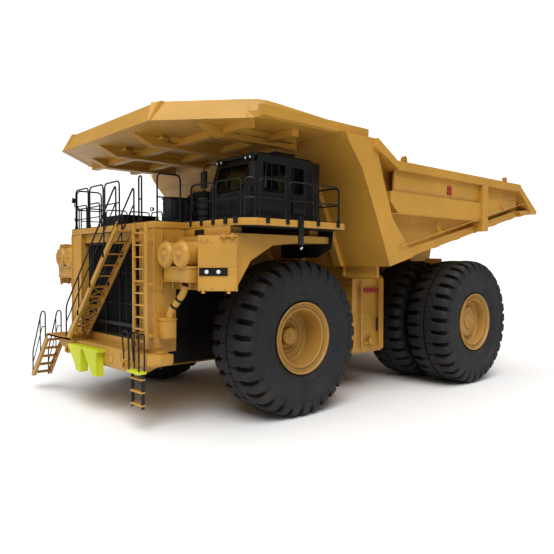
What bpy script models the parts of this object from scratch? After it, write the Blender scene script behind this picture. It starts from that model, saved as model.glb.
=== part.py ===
"""A mining dump truck with its bed down: metres, +Z up, the front towards -Y and the operator's side at +X."""

import math

import bmesh
import bpy
from mathutils import Matrix, Vector

# Fits
GAP = 0.0003  # between pieces that touch
RUNNING_GAP = 0.01  # between pieces that turn or slide in each other
OVERLAP = 0.02  # shapes joined into one solid reach this far into each other

# Driving dimensions
WHEELBASE = 7.195
FRONT_OVERHANG = 3.94
REAR_OVERHANG = 3.945
TYRE_RADIUS = 2.014
TYRE_WIDTH = 1.48
TYRE_SIDES = 24
RIM_SEAT_RADIUS = 0.80
RIM_FLANGE_RADIUS = 0.925
RIM_FLANGE_OFFSET = 0.60  # from the tyre's middle to the inner face of its flange
RIM_FLANGE_WIDTH = 0.06
RIM_WALL = 0.06
FRONT_TYRE_X = 3.267
OUTER_TYRE_X = 3.967
TWIN_SPACING = 1.70
KINGPIN_X = 2.05
STEER_LIMIT_DEG = 36
TIE_ROD_EYE = 0.11
HUB_REACH = 0.48  # the front hub's inner face inboard of the tyre's middle

RAIL_OUTER_X = 1.12
RAIL_WIDTH = 0.36
RAIL_DROP = 0.80  # underside of the front rails below the axle
STRUT_RADIUS = 0.28
AXLE_TUBE_RADIUS = 0.62
SPINDLE_RADIUS = 0.20
REAR_SPINDLE_RADIUS = 0.42

DECK_THICKNESS = 0.18
DECK_ABOVE_TYRE = 0.902  # deck top above the tyres
DECK_HALF_WIDTH = 4.72
TOWER_HALF_WIDTH = 2.36
TOWER_FRONT = 3.40  # tower face ahead of the front axle
SHEET = 0.08  # cab and fender plate

BODY_HALF_WIDTH = 4.8775
BODY_INSIDE_HALF = 4.2565
BODY_PLATE = 0.16
CANOPY_HALF_WIDTH = 4.558
BODY_PIVOT_BEHIND_AXLE = 1.80
BODY_PIVOT_ABOVE_AXLE = 1.236
PIVOT_PIN_RADIUS = 0.12

HOIST_X = 1.30
HOIST_RADIUS = 0.14
HOIST_ROD_RADIUS = 0.09
HOIST_PIN_RADIUS = 0.07

RAIL_TUBE = 0.022
HANDRAIL_HEIGHT = 1.05
POST_SIDES = 6

# Places worked out from them
FRONT_Y = -(FRONT_OVERHANG + WHEELBASE + REAR_OVERHANG) / 2 + FRONT_OVERHANG
REAR_Y = FRONT_Y + WHEELBASE
AXLE_Z = TYRE_RADIUS
TYRE_TOP = 2 * TYRE_RADIUS
DECK_TOP = TYRE_TOP + DECK_ABOVE_TYRE
DECK_UNDER = DECK_TOP - DECK_THICKNESS
INNER_TYRE_X = OUTER_TYRE_X - TWIN_SPACING
PIVOT_Y = REAR_Y + BODY_PIVOT_BEHIND_AXLE
PIVOT_Z = AXLE_Z + BODY_PIVOT_ABOVE_AXLE
RAIL_INNER_X = RAIL_OUTER_X - RAIL_WIDTH
LADDER_FACE_Y = FRONT_Y - TOWER_FRONT

YELLOW = ("construction_yellow", (0.62, 0.33, 0.05), 0.45, 0.0)
BLACK = ("black_paint", (0.02, 0.02, 0.022), 0.5, 0.0)
RUBBER = ("tyre_rubber", (0.03, 0.03, 0.032), 0.85, 0.0)
STEEL = ("polished_steel", (0.6, 0.6, 0.6), 0.2, 1.0)
GLASS = ("tinted_glass", (0.08, 0.1, 0.09), 0.05, 0.0)
CLOTH = ("seat_cloth", (0.05, 0.05, 0.055), 0.9, 0.0)
LIME = ("lime_yellow", (0.65, 0.7, 0.03), 0.5, 0.0)
GREY = ("grey_paint", (0.12, 0.12, 0.13), 0.5, 0.0)

SIDES = (("left", 1), ("right", -1))

STEER_LIMIT = math.radians(STEER_LIMIT_DEG)
TYRE_REACH = FRONT_TYRE_X + TYRE_WIDTH / 2 - KINGPIN_X
SWEEP = TYRE_REACH * math.sin(STEER_LIMIT) + TYRE_RADIUS * math.cos(STEER_LIMIT)
TANK_FRONT_Y = FRONT_Y + SWEEP + 0.12
TANK_LENGTH = 1.50
TANK_OUTER_X = 3.02
TANK_WIDTH = 1.30
TANK_INNER_X = TANK_OUTER_X - TANK_WIDTH
TANK_BOTTOM_Z = 1.18
TANK_TOP_Z = 3.56
EAR_INNER_X = RAIL_OUTER_X + 0.02
EAR_OUTER_X = EAR_INNER_X + 0.20

BUMPER_UNDER = 1.25
BUMPER_TOP = 1.80
COLUMN_WIDTH = 0.66
FENDER_SIDE_X = 4.22
FENDER_INNER_X = 2.42
FENDER_FRONT = 2.62  # fender face ahead of the front axle
HEADLIGHT_UNDER = AXLE_Z + 1.29
DRUM_RADIUS = 0.30
DRUM_X = (2.73, 3.38)
DRUM_Z = AXLE_Z + 2.10

CAB_INNER_X = 2.40
CAB_OUTER_X = 4.00
CAB_FRONT_Y = FRONT_Y - 1.86
CAB_BACK_Y = FRONT_Y + 0.12
CAB_HEIGHT = 1.59
CAB_SILL = 0.70
CAB_LINTEL = 0.20
DOOR_FRONT_Y = CAB_BACK_Y - 0.74
DOOR_BACK_Y = CAB_BACK_Y - 0.12
GLASS_THICKNESS = 0.02
HINGE_RADIUS = 0.015

STAIR_FRONT_Y = FRONT_Y - FRONT_OVERHANG
STAIR_WIDTH = FRONT_OVERHANG - TOWER_FRONT
STRINGER = 0.05
LANDING_TOP = BUMPER_TOP + 0.06
LANDING_X = (-2.95, -1.58)
STAIR_RISE = DECK_TOP - LANDING_TOP
STEP_RISE = 0.27
LOWER_STAIR_RUN = 1.32
LOWER_STAIR_DROP = 1.40
STAIR_RAIL_HEIGHT = 0.90
STAIR_PIN_RADIUS = 0.03

LADDER_X = (1.74, 2.32)
LADDER_STANDOFF = 0.20
RUNG_SPACING = 0.30

FLOOR_SLOPE = math.tan(math.radians(13))
FLOOR_FRONT_Y = FRONT_Y + 2.41
FLOOR_FRONT_Z = TYRE_TOP - 0.188
FLOOR_LIFT = 0.20
FLOOR_DISH = 0.40
FLOOR_PLATE = 0.16
TAIL_Y = REAR_Y + REAR_OVERHANG
CANOPY_UNDER = DECK_TOP + 2.27
CANOPY_PLATE = 0.16
CANOPY_FRONT_Y = FRONT_Y - 3.66
CANOPY_BACK_Y = FRONT_Y + 1.75
RAIL_TOP_Z = DECK_TOP + 1.78
RIB_X = BODY_INSIDE_HALF + BODY_PLATE
HOIST_BASE = (REAR_Y - 2.65, AXLE_Z - 0.30)
HOIST_EYE = (REAR_Y - 0.595, AXLE_Z + 1.986)
ROD_START = 0.45  # the rod's inner end from the barrel's pin


def paint(finish):
    """The Principled material of a finish, made once."""
    name, colour, roughness, metallic = finish
    material = bpy.data.materials.get(name)
    if material is None:
        material = bpy.data.materials.new(name)
        material.use_nodes = True
        shader = material.node_tree.nodes["Principled BSDF"]
        shader.inputs["Base Color"].default_value = (*colour, 1.0)
        shader.inputs["Roughness"].default_value = roughness
        shader.inputs["Metallic"].default_value = metallic
    return material


def box(low, high):
    """A box between two corners, given in any order."""
    shape = bmesh.new()
    bmesh.ops.create_cube(shape, size=1)
    low, high = Vector(low), Vector(high)
    size = high - low
    for vertex in shape.verts:
        vertex.co = Vector((low[i] + size[i] * (vertex.co[i] + 0.5) for i in range(3)))
    bmesh.ops.recalc_face_normals(shape, faces=shape.faces)
    return shape


def loft(first, second):
    """A closed solid between two rings with as many points each."""
    shape = bmesh.new()
    rings = [[shape.verts.new(point) for point in ring] for ring in (first, second)]
    count = len(first)
    for i in range(count):
        j = (i + 1) % count
        shape.faces.new((rings[0][i], rings[0][j], rings[1][j], rings[1][i]))
    shape.faces.new(rings[0])
    shape.faces.new(rings[1][::-1])
    bmesh.ops.recalc_face_normals(shape, faces=shape.faces)
    return shape


def prism(axis, outline, start, end):
    """An outline pushed along an axis: x takes (y, z) points, y takes (x, z) and z takes (x, y)."""
    if axis == "x":
        return loft([(start, a, b) for a, b in outline], [(end, a, b) for a, b in outline])
    if axis == "y":
        return loft([(a, start, b) for a, b in outline], [(a, end, b) for a, b in outline])
    return loft([(a, b, start) for a, b in outline], [(a, b, end) for a, b in outline])


def turned(profile, centre, steps, axis="x", phase=0.0):
    """A closed (along, radius) profile turned about an axis through centre. Points on the axis close it."""
    shape = bmesh.new()
    rings = []
    for along, radius in profile:
        count = 1 if radius == 0 else steps
        ring = []
        for i in range(count):
            angle = 2 * math.pi * (i + phase) / steps
            side, up = radius * math.sin(angle), -radius * math.cos(angle)
            offset = {"x": (along, side, up), "y": (side, along, up), "z": (side, up, along)}[axis]
            ring.append(shape.verts.new(Vector(centre) + Vector(offset)))
        rings.append(ring)
    for first, second in zip(rings, rings[1:] + rings[:1]):
        if len(first) == 1 and len(second) == 1:
            continue
        for i in range(steps):
            j = (i + 1) % steps
            corners = [first[i % len(first)], first[j % len(first)], second[j % len(second)], second[i % len(second)]]
            unique = []
            for corner in corners:
                if corner not in unique:
                    unique.append(corner)
            shape.faces.new(unique)
    bmesh.ops.recalc_face_normals(shape, faces=shape.faces)
    return shape


def bar(start, end, radius, sides=8):
    """A round bar between two points."""
    start, end = Vector(start), Vector(end)
    along = end - start
    shape = bmesh.new()
    bmesh.ops.create_cone(
        shape, cap_ends=True, segments=sides, radius1=radius, radius2=radius, depth=along.length
    )
    turn = along.to_track_quat("Z", "Y").to_matrix().to_4x4()
    bmesh.ops.transform(shape, matrix=Matrix.Translation((start + end) / 2) @ turn, verts=shape.verts)
    bmesh.ops.recalc_face_normals(shape, faces=shape.faces)
    return shape


def tube(points, radius=RAIL_TUBE, sides=POST_SIDES):
    """A tube along straight runs, mitred where they meet."""
    points = [Vector(point) for point in points]
    runs = [(b - a).normalized() for a, b in zip(points, points[1:])]
    side = runs[0].orthogonal().normalized()
    shape = bmesh.new()
    rings = []
    for i, point in enumerate(points):
        before = runs[max(i - 1, 0)]
        after = runs[min(i, len(runs) - 1)]
        if i:
            side = before.rotation_difference(after) @ side if i < len(runs) else side
        side = (side - after * side.dot(after)).normalized()
        across = after.cross(side)
        plane = (before + after).normalized()
        ring = []
        for k in range(sides):
            angle = 2 * math.pi * k / sides
            offset = radius * (math.cos(angle) * side + math.sin(angle) * across)
            offset -= after * (offset.dot(plane) / after.dot(plane))
            ring.append(shape.verts.new(point + offset))
        rings.append(ring)
    for first, second in zip(rings, rings[1:]):
        for k in range(sides):
            j = (k + 1) % sides
            shape.faces.new((first[k], first[j], second[j], second[k]))
    shape.faces.new(rings[0][::-1])
    shape.faces.new(rings[-1])
    bmesh.ops.recalc_face_normals(shape, faces=shape.faces)
    return shape


def flipped(shape):
    """The shape mirrored to the other side of the truck."""
    mirrored = shape.copy()
    bmesh.ops.scale(mirrored, vec=(-1, 1, 1), verts=mirrored.verts)
    bmesh.ops.recalc_face_normals(mirrored, faces=mirrored.faces)
    return mirrored


def on_side(shapes, sign):
    """Shapes drawn for the left, kept or mirrored to the right."""
    return shapes if sign > 0 else [flipped(shape) for shape in shapes]


def object_of(name, shapes, origin):
    """One object from closed shapes, with its origin at a world point."""
    mesh = bpy.data.meshes.new(name)
    whole = bmesh.new()
    for shape in shapes:
        part = bpy.data.meshes.new(name + "_part")
        shape.to_mesh(part)
        whole.from_mesh(part)
        bpy.data.meshes.remove(part)
    bmesh.ops.translate(whole, vec=-Vector(origin), verts=whole.verts)
    whole.to_mesh(mesh)
    whole.free()
    made = bpy.data.objects.new(name, mesh)
    bpy.context.scene.collection.objects.link(made)
    return made


def helper(name, shapes, origin):
    """An object that only joins or cuts another."""
    made = object_of(name, shapes, origin)
    made.hide_render = True
    made.display_type = "WIRE"
    return made


def solid(name, finish, shapes, cuts=(), joint=None, smooth=False):
    """One node: its shapes joined, its cuts taken out. It hangs from its joint's empty, if it has one."""
    origin = joint.matrix_world.translation if joint else Vector((0, 0, 0))
    made = object_of(name, shapes[:1], origin)
    helpers = []
    if len(shapes) > 1:
        others = helper(name + ".join", shapes[1:], origin)
        join = made.modifiers.new("join", "BOOLEAN")
        join.operation = "UNION"
        join.object = others
        join.use_self = True
        helpers.append(others)
    if cuts:
        cutter = helper(name + ".cut", list(cuts), origin)
        cut = made.modifiers.new("cut", "BOOLEAN")
        cut.operation = "DIFFERENCE"
        cut.object = cutter
        cut.use_self = len(cuts) > 1
        helpers.append(cutter)
    for each in [made, *helpers]:
        each.parent = joint
    made.data.materials.append(paint(finish))
    if smooth:
        made.data.shade_smooth()
        made.data.set_sharp_from_angle(angle=math.radians(35))
    return made


def joint_empty(name, place, parent=None):
    """The empty on a joint's axis, which carries the pieces that move with it."""
    empty = bpy.data.objects.new(name, None)
    bpy.context.scene.collection.objects.link(empty)
    if parent:
        empty.parent = parent
        empty.location = Vector(place) - parent.matrix_world.translation
    else:
        empty.location = place
    bpy.context.view_layer.update()
    return empty


def build_frame():
    """The two rails with their cross beams, strut towers, strut brackets and pins."""
    outline = [
        (FRONT_Y - 3.15 + GAP, AXLE_Z - RAIL_DROP),
        (FRONT_Y + 2.30, AXLE_Z - RAIL_DROP),
        (REAR_Y - 1.60, AXLE_Z - 0.15),
        (REAR_Y - 0.95, AXLE_Z + AXLE_TUBE_RADIUS + 0.08),
        (REAR_Y + 1.10, AXLE_Z + AXLE_TUBE_RADIUS + 0.08),
        (PIVOT_Y + 0.25, PIVOT_Z - 0.30),
        (PIVOT_Y + 0.25, PIVOT_Z + 0.20),
        (PIVOT_Y - 0.35, PIVOT_Z + 0.20),
        (PIVOT_Y - 0.50, PIVOT_Z - 0.05),
        (FRONT_Y + 3.10, PIVOT_Z - 0.05),
        (FRONT_Y + 1.70, AXLE_Z + 0.10),
        (FRONT_Y - 2.20, AXLE_Z + 0.10),
        (FRONT_Y - 2.55, BUMPER_TOP - GAP),
        (FRONT_Y - 3.15 + GAP, BUMPER_TOP - GAP),
    ]
    tower_x = KINGPIN_X - STRUT_RADIUS
    shapes = []
    for _, sign in SIDES:
        rail = prism("x", outline, RAIL_INNER_X, RAIL_OUTER_X)
        tower = box(
            (RAIL_OUTER_X - OVERLAP, FRONT_Y - 0.42, AXLE_Z - 0.30), (tower_x - GAP, FRONT_Y + 0.42, AXLE_Z + 1.72)
        )
        bracket = box(
            (RAIL_OUTER_X - OVERLAP, REAR_Y + 1.20, PIVOT_Z - 0.40),
            (RAIL_OUTER_X + 0.36, REAR_Y + 1.45, PIVOT_Z - 0.10),
        )
        hoist_pin = bar(
            (RAIL_OUTER_X - OVERLAP, REAR_Y - 2.65, AXLE_Z - 0.30),
            (HOIST_X + HOIST_RADIUS + 0.03, *HOIST_BASE),
            HOIST_PIN_RADIUS,
            16,
        )
        hoist_lug = box(
            (RAIL_INNER_X + 0.03, REAR_Y - 2.95, AXLE_Z - 0.50), (RAIL_OUTER_X + 0.01, REAR_Y - 2.25, AXLE_Z + 0.20)
        )
        tank_arm = box(
            (RAIL_OUTER_X - OVERLAP, TANK_FRONT_Y + 0.35, AXLE_Z + 0.30),
            (TANK_INNER_X - GAP, TANK_FRONT_Y + TANK_LENGTH - 0.35, AXLE_Z + 0.70),
        )
        deck_post = box(
            (RAIL_INNER_X + 0.05, FRONT_Y + 0.20, AXLE_Z + 1.30), (RAIL_OUTER_X - 0.03, FRONT_Y + 0.40, DECK_UNDER - GAP)
        )
        shapes += on_side([rail, tower, bracket, hoist_pin, hoist_lug, tank_arm, deck_post], sign)
    cross_x = RAIL_OUTER_X - 0.10
    shapes += [
        box((-tower_x + 0.05, FRONT_Y - 0.30, AXLE_Z + 1.30), (tower_x - 0.05, FRONT_Y + 0.30, AXLE_Z + 1.68)),
        box((-cross_x, FRONT_Y - 3.05, AXLE_Z - 0.75), (cross_x, FRONT_Y - 2.65, BUMPER_TOP - 0.08)),
        bar((-cross_x, FRONT_Y + 2.60, AXLE_Z), (cross_x, FRONT_Y + 2.60, AXLE_Z), 0.25, 12),
        bar((-cross_x, REAR_Y - 2.45, AXLE_Z + 0.45), (cross_x, REAR_Y - 2.45, AXLE_Z + 0.45), 0.28, 12),
        bar((-cross_x, REAR_Y + 1.30, PIVOT_Z - 0.22), (cross_x, REAR_Y + 1.30, PIVOT_Z - 0.22), 0.16, 12),
        bar((-EAR_OUTER_X - 0.03, PIVOT_Y, PIVOT_Z), (EAR_OUTER_X + 0.03, PIVOT_Y, PIVOT_Z), PIVOT_PIN_RADIUS, 16),
    ]
    solid("main_frame", YELLOW, shapes)


# Tanks stand behind the front tyre's sweep


def build_tanks():
    """A tank with chamfered edges on each side, carried by the frame's arms."""
    for name, sign in (("fuel_tank", 1), ("hydraulic_tank", -1)):
        cut = 0.10
        back = TANK_FRONT_Y + TANK_LENGTH
        outline = [
            (TANK_INNER_X, TANK_BOTTOM_Z),
            (TANK_OUTER_X - cut, TANK_BOTTOM_Z),
            (TANK_OUTER_X, TANK_BOTTOM_Z + cut),
            (TANK_OUTER_X, TANK_TOP_Z - cut),
            (TANK_OUTER_X - cut, TANK_TOP_Z),
            (TANK_INNER_X, TANK_TOP_Z),
        ]
        body = prism("y", outline, TANK_FRONT_Y, back)
        step = box(
            (TANK_OUTER_X - OVERLAP, TANK_FRONT_Y + 0.45, TANK_BOTTOM_Z + 0.30),
            (TANK_OUTER_X + 0.10, TANK_FRONT_Y + 0.95, TANK_BOTTOM_Z + 0.36),
        )
        solid(name, YELLOW, on_side([body, step], sign))


def build_front():
    """Bumper, radiator, the guard columns around it and the engine's block."""
    bumper_outline = [
        (-2.78, FRONT_Y - 3.15),
        (-2.78, FRONT_Y - 3.55),
        (-2.55, FRONT_Y - 3.72),
        (2.55, FRONT_Y - 3.72),
        (2.78, FRONT_Y - 3.55),
        (2.78, FRONT_Y - 3.15),
    ]
    bumper = [prism("z", bumper_outline, BUMPER_UNDER, BUMPER_TOP)]
    for _, sign in SIDES:
        tow_lug = box((1.60, FRONT_Y - 3.80, BUMPER_UNDER + 0.12), (1.75, FRONT_Y - 3.70, BUMPER_UNDER + 0.42))
        bumper += on_side([tow_lug], sign)
    solid("front_bumper", YELLOW, bumper)

    guard = []
    inner = TOWER_HALF_WIDTH - COLUMN_WIDTH
    for _, sign in SIDES:
        low = box(
            (inner, LADDER_FACE_Y, BUMPER_TOP + GAP), (TOWER_HALF_WIDTH, FRONT_Y - SWEEP - 0.04, AXLE_Z + 1.30)
        )
        high = box(
            (inner, LADDER_FACE_Y, AXLE_Z + 1.28), (TOWER_HALF_WIDTH, FRONT_Y - 2.56, DECK_UNDER - GAP)
        )
        guard += on_side([low, high], sign)
    back = FRONT_Y - SWEEP - 0.04
    guard += [
        box((-inner - OVERLAP, LADDER_FACE_Y + 0.1, BUMPER_TOP + GAP), (inner + OVERLAP, back, BUMPER_TOP + 0.20)),
        box((-inner - OVERLAP, LADDER_FACE_Y + 0.1, DECK_UNDER - 0.25), (inner + OVERLAP, back, DECK_UNDER - GAP)),
    ]
    solid("radiator_guard", YELLOW, guard)

    radiator = [
        box(
            (-inner + GAP, LADDER_FACE_Y + 0.25, BUMPER_TOP + 0.20 + GAP),
            (inner - GAP, FRONT_Y - 2.62, DECK_UNDER - 0.25 - GAP),
        )
    ]
    solid("radiator", BLACK, radiator)
    engine = [
        box((-RAIL_INNER_X + GAP, FRONT_Y - 2.20, AXLE_Z - 0.60), (RAIL_INNER_X - GAP, FRONT_Y + 1.60, AXLE_Z + 1.25))
    ]
    solid("engine_block", YELLOW, engine)


def build_deck():
    """The walkway plate over the engine and wheels, one outline cut by nothing."""
    left = [
        (TOWER_HALF_WIDTH, LADDER_FACE_Y),
        (TOWER_HALF_WIDTH, FRONT_Y - 2.56),
        (DECK_HALF_WIDTH - 0.24, FRONT_Y - 2.50),
        (DECK_HALF_WIDTH, FRONT_Y - 2.25),
        (DECK_HALF_WIDTH, FRONT_Y + 0.60),
    ]
    right = [(-x, y) for x, y in left[::-1]]
    solid("deck", YELLOW, [prism("z", left + right, DECK_UNDER, DECK_TOP)])


def build_fenders():
    """Over each front tyre: the arch panel with the corner block that carries the headlights."""
    arch = [
        (FRONT_Y - FENDER_FRONT + 0.10, HEADLIGHT_UNDER),
        (FRONT_Y - FENDER_FRONT + 0.16, HEADLIGHT_UNDER),
        (FRONT_Y - 2.01, AXLE_Z + 1.96),
        (FRONT_Y - 1.35, AXLE_Z + 2.32),
        (FRONT_Y - 0.43, AXLE_Z + 2.41),
        (FRONT_Y + 0.57, AXLE_Z + 2.41),
        (FRONT_Y + 0.57, AXLE_Z + 2.58),
        (FRONT_Y - FENDER_FRONT + 0.10, AXLE_Z + 2.58),
    ]
    block = [
        (FENDER_INNER_X, FRONT_Y - 2.48),
        (FENDER_INNER_X, FRONT_Y - FENDER_FRONT - 0.26),
        (3.72, FRONT_Y - FENDER_FRONT - 0.26),
        (3.82, FRONT_Y - 3.18),
        (4.45, FRONT_Y - 2.56),
        (FENDER_SIDE_X, FRONT_Y - 2.48),
    ]
    stand = (2.62, FRONT_Y - 2.40, AXLE_Z + 2.50), (4.00, FRONT_Y - 2.10, DECK_UNDER - GAP)
    rear_stand = (2.62, FRONT_Y + 0.10, AXLE_Z + 2.50), (4.00, FRONT_Y + 0.40, DECK_UNDER - GAP)
    for side, sign in SIDES:
        shapes = [
            prism("x", arch, FENDER_INNER_X + 0.10, FENDER_SIDE_X),
            prism("z", block, HEADLIGHT_UNDER, AXLE_Z + 2.52),
            box(*stand),
            box(*rear_stand),
        ]
        solid("fender_" + side, YELLOW, on_side(shapes, sign))
    front = FRONT_Y - FENDER_FRONT - 0.26
    for side, sign in SIDES:
        drums = [
            turned(
                [(-0.52, 0), (-0.52, 0.10), (-0.50, DRUM_RADIUS), (-GAP, DRUM_RADIUS), (-GAP, 0)],
                (x, front, DRUM_Z),
                20,
                "y",
            )
            for x in DRUM_X
        ]
        housing = box((2.60, front - 0.42, DRUM_Z - 0.62), (3.66, front - GAP, DRUM_Z - 0.26))
        solid("air_cleaner_" + side, YELLOW, on_side([*drums, housing], sign), smooth=True)


def cab_outline(inset, floor):
    """The cab's side view in (y, z), pulled in by inset. Its face leans back."""
    base = DECK_TOP + GAP + floor
    roof = DECK_TOP + CAB_HEIGHT - inset
    return [
        (CAB_FRONT_Y + inset, base),
        (CAB_BACK_Y - inset, base),
        (CAB_BACK_Y - inset, roof),
        (CAB_FRONT_Y + 0.30 + inset, roof),
        (CAB_FRONT_Y + inset, DECK_TOP + CAB_SILL),
    ]


def build_cab():
    """A hollow shell with its four windows and its doorway cut, its glass, seat and dashboard."""
    sill, lintel = DECK_TOP + CAB_SILL, DECK_TOP + CAB_HEIGHT - CAB_LINTEL
    shell = prism("x", cab_outline(0, 0), CAB_INNER_X, CAB_OUTER_X)
    inside = prism("x", cab_outline(SHEET, SHEET), CAB_INNER_X + SHEET, CAB_OUTER_X - SHEET)
    side = 0.14
    lean = 0.30 * (lintel - sill) / (CAB_HEIGHT - CAB_SILL)
    front_window = box(
        (CAB_INNER_X + side, CAB_FRONT_Y - 0.1, sill), (CAB_OUTER_X - side, CAB_FRONT_Y + 0.40 + lean, lintel)
    )
    rear_window = box((CAB_INNER_X + side, CAB_BACK_Y - 0.2, sill), (CAB_OUTER_X - side, CAB_BACK_Y + 0.1, lintel))
    inner_window = box(
        (CAB_INNER_X - 0.1, CAB_FRONT_Y + 0.50, sill), (CAB_INNER_X + 0.2, CAB_BACK_Y - side, lintel)
    )
    side_window = box(
        (CAB_OUTER_X - 0.2, CAB_FRONT_Y + 0.42, sill), (CAB_OUTER_X + 0.1, DOOR_FRONT_Y - 0.10, lintel)
    )
    doorway = box(
        (CAB_OUTER_X - 0.2, DOOR_FRONT_Y, DECK_TOP + SHEET + 0.02), (CAB_OUTER_X + 0.1, DOOR_BACK_Y, lintel + 0.06)
    )
    cuts = [inside, front_window, rear_window, inner_window, side_window, doorway]
    solid("cab_shell", BLACK, [shell], cuts)

    slope = 0.30 / (CAB_HEIGHT - CAB_SILL)
    screen_y = CAB_FRONT_Y + 0.03
    screen = [
        (screen_y, sill + GAP),
        (screen_y + GLASS_THICKNESS, sill + GAP),
        (screen_y + GLASS_THICKNESS + slope * (lintel - sill), lintel - GAP),
        (screen_y + slope * (lintel - sill), lintel - GAP),
    ]
    solid("windscreen", GLASS, [prism("x", screen, CAB_INNER_X + side + GAP, CAB_OUTER_X - side - GAP)])
    panes = {
        "cab_rear_glass": (
            (CAB_INNER_X + side + GAP, CAB_BACK_Y - 0.05, sill + GAP),
            (CAB_OUTER_X - side - GAP, CAB_BACK_Y - 0.05 + GLASS_THICKNESS, lintel - GAP),
        ),
        "cab_inner_glass": (
            (CAB_INNER_X + 0.03, CAB_FRONT_Y + 0.50 + GAP, sill + GAP),
            (CAB_INNER_X + 0.03 + GLASS_THICKNESS, CAB_BACK_Y - side - GAP, lintel - GAP),
        ),
        "cab_side_glass": (
            (CAB_OUTER_X - 0.05, CAB_FRONT_Y + 0.42 + GAP, sill + GAP),
            (CAB_OUTER_X - 0.05 + GLASS_THICKNESS, DOOR_FRONT_Y - 0.10 - GAP, lintel - GAP),
        ),
    }
    for name, corners in panes.items():
        solid(name, GLASS, [box(*corners)])

    pin_x = CAB_OUTER_X + HINGE_RADIUS + GAP
    hinge = joint_empty("cab_door_hinge", (pin_x, DOOR_BACK_Y, DECK_TOP))
    gap = 0.01
    knuckles = []
    for z in (DECK_TOP + 0.35, DECK_TOP + 1.10):
        knuckles.append(bar((pin_x, DOOR_BACK_Y, z), (pin_x, DOOR_BACK_Y, z + 0.12), HINGE_RADIUS))
        knuckles.append(
            box((CAB_OUTER_X - 0.01, DOOR_BACK_Y - 0.07, z + 0.01), (pin_x + 0.004, DOOR_BACK_Y, z + 0.11))
        )
    door = box(
        (CAB_OUTER_X - SHEET, DOOR_FRONT_Y + gap, DECK_TOP + SHEET + 0.02 + gap),
        (CAB_OUTER_X, DOOR_BACK_Y - gap, lintel + 0.06 - gap),
    )
    hole = box((CAB_OUTER_X - 0.2, DOOR_FRONT_Y + 0.12, sill), (CAB_OUTER_X + 0.1, DOOR_BACK_Y - 0.12, lintel - 0.04))
    pane = box(
        (CAB_OUTER_X - 0.05, DOOR_FRONT_Y + 0.12 + GAP, sill + GAP),
        (CAB_OUTER_X - 0.05 + GLASS_THICKNESS, DOOR_BACK_Y - 0.12 - GAP, lintel - 0.04 - GAP),
    )
    solid("cab_door", BLACK, [door, *knuckles], [hole], joint=hinge)
    solid("cab_door_glass", GLASS, [pane], joint=hinge)

    floor = DECK_TOP + GAP + SHEET + GAP
    seat_x, seat_y = (CAB_INNER_X + CAB_OUTER_X) / 2, CAB_BACK_Y - 0.78
    seat = [
        box((seat_x - 0.26, seat_y - 0.26, floor), (seat_x + 0.26, seat_y + 0.26, floor + 0.52)),
        box((seat_x - 0.26, seat_y + 0.16, floor + 0.45), (seat_x + 0.26, seat_y + 0.32, floor + 1.12)),
    ]
    solid("operator_seat", CLOTH, seat)
    dash_y = CAB_FRONT_Y + SHEET + GAP
    dashboard = [
        box((CAB_INNER_X + 0.12, dash_y, floor), (CAB_OUTER_X - 0.12, dash_y + 0.34, floor + 0.58)),
        bar((seat_x, dash_y + 0.28, floor + 0.55), (seat_x, dash_y + 0.50, floor + 0.78), 0.03),
        turned(
            [(-0.012, 0), (-0.012, 0.20), (0.012, 0.20), (0.012, 0)], (seat_x, dash_y + 0.50, floor + 0.79), 16, "z"
        ),
    ]
    solid("dashboard", BLACK, dashboard)


def build_deck_equipment():
    """A grey cabinet and a black drum on the deck between the cab and the ladder."""
    base = DECK_TOP + GAP
    shapes = [
        box((1.30, FRONT_Y - 2.60, base), (2.20, FRONT_Y - 1.30, base + 0.06)),
        box((1.32, FRONT_Y - 2.55, base + 0.04), (1.75, FRONT_Y - 1.80, base + 0.66)),
        turned(
            [(0.0, 0), (0.0, 0.20), (0.05, 0.30), (0.62, 0.30), (0.72, 0.16), (0.72, 0)],
            (1.98, FRONT_Y - 1.72, base + 0.05),
            20,
            "z",
        ),
    ]
    solid("deck_equipment", GREY, shapes, smooth=True)


def flight(top, run, drop, count, stringer_depth=0.24):
    """Two stringers and their treads, from a top point (x, z) down towards -X."""
    front, back = STAIR_FRONT_Y, STAIR_FRONT_Y + STAIR_WIDTH - GAP
    x, z = top
    foot = z - drop - 0.03
    outline = [(x, z), (x - run, z - drop), (x - run, foot), (x - run + stringer_depth, foot), (x, z - stringer_depth)]
    shapes = [prism("y", outline, front, front + STRINGER), prism("y", outline, back - STRINGER, back)]
    for i in range(count):
        share = (i + 0.5) / count
        tread_x, tread_z = x - run * share, z - drop * share - 0.08
        shapes.append(
            box((tread_x - 0.14, front + 0.01, tread_z - 0.02), (tread_x + 0.14, back - 0.01, tread_z + 0.02))
        )
    return shapes


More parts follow.
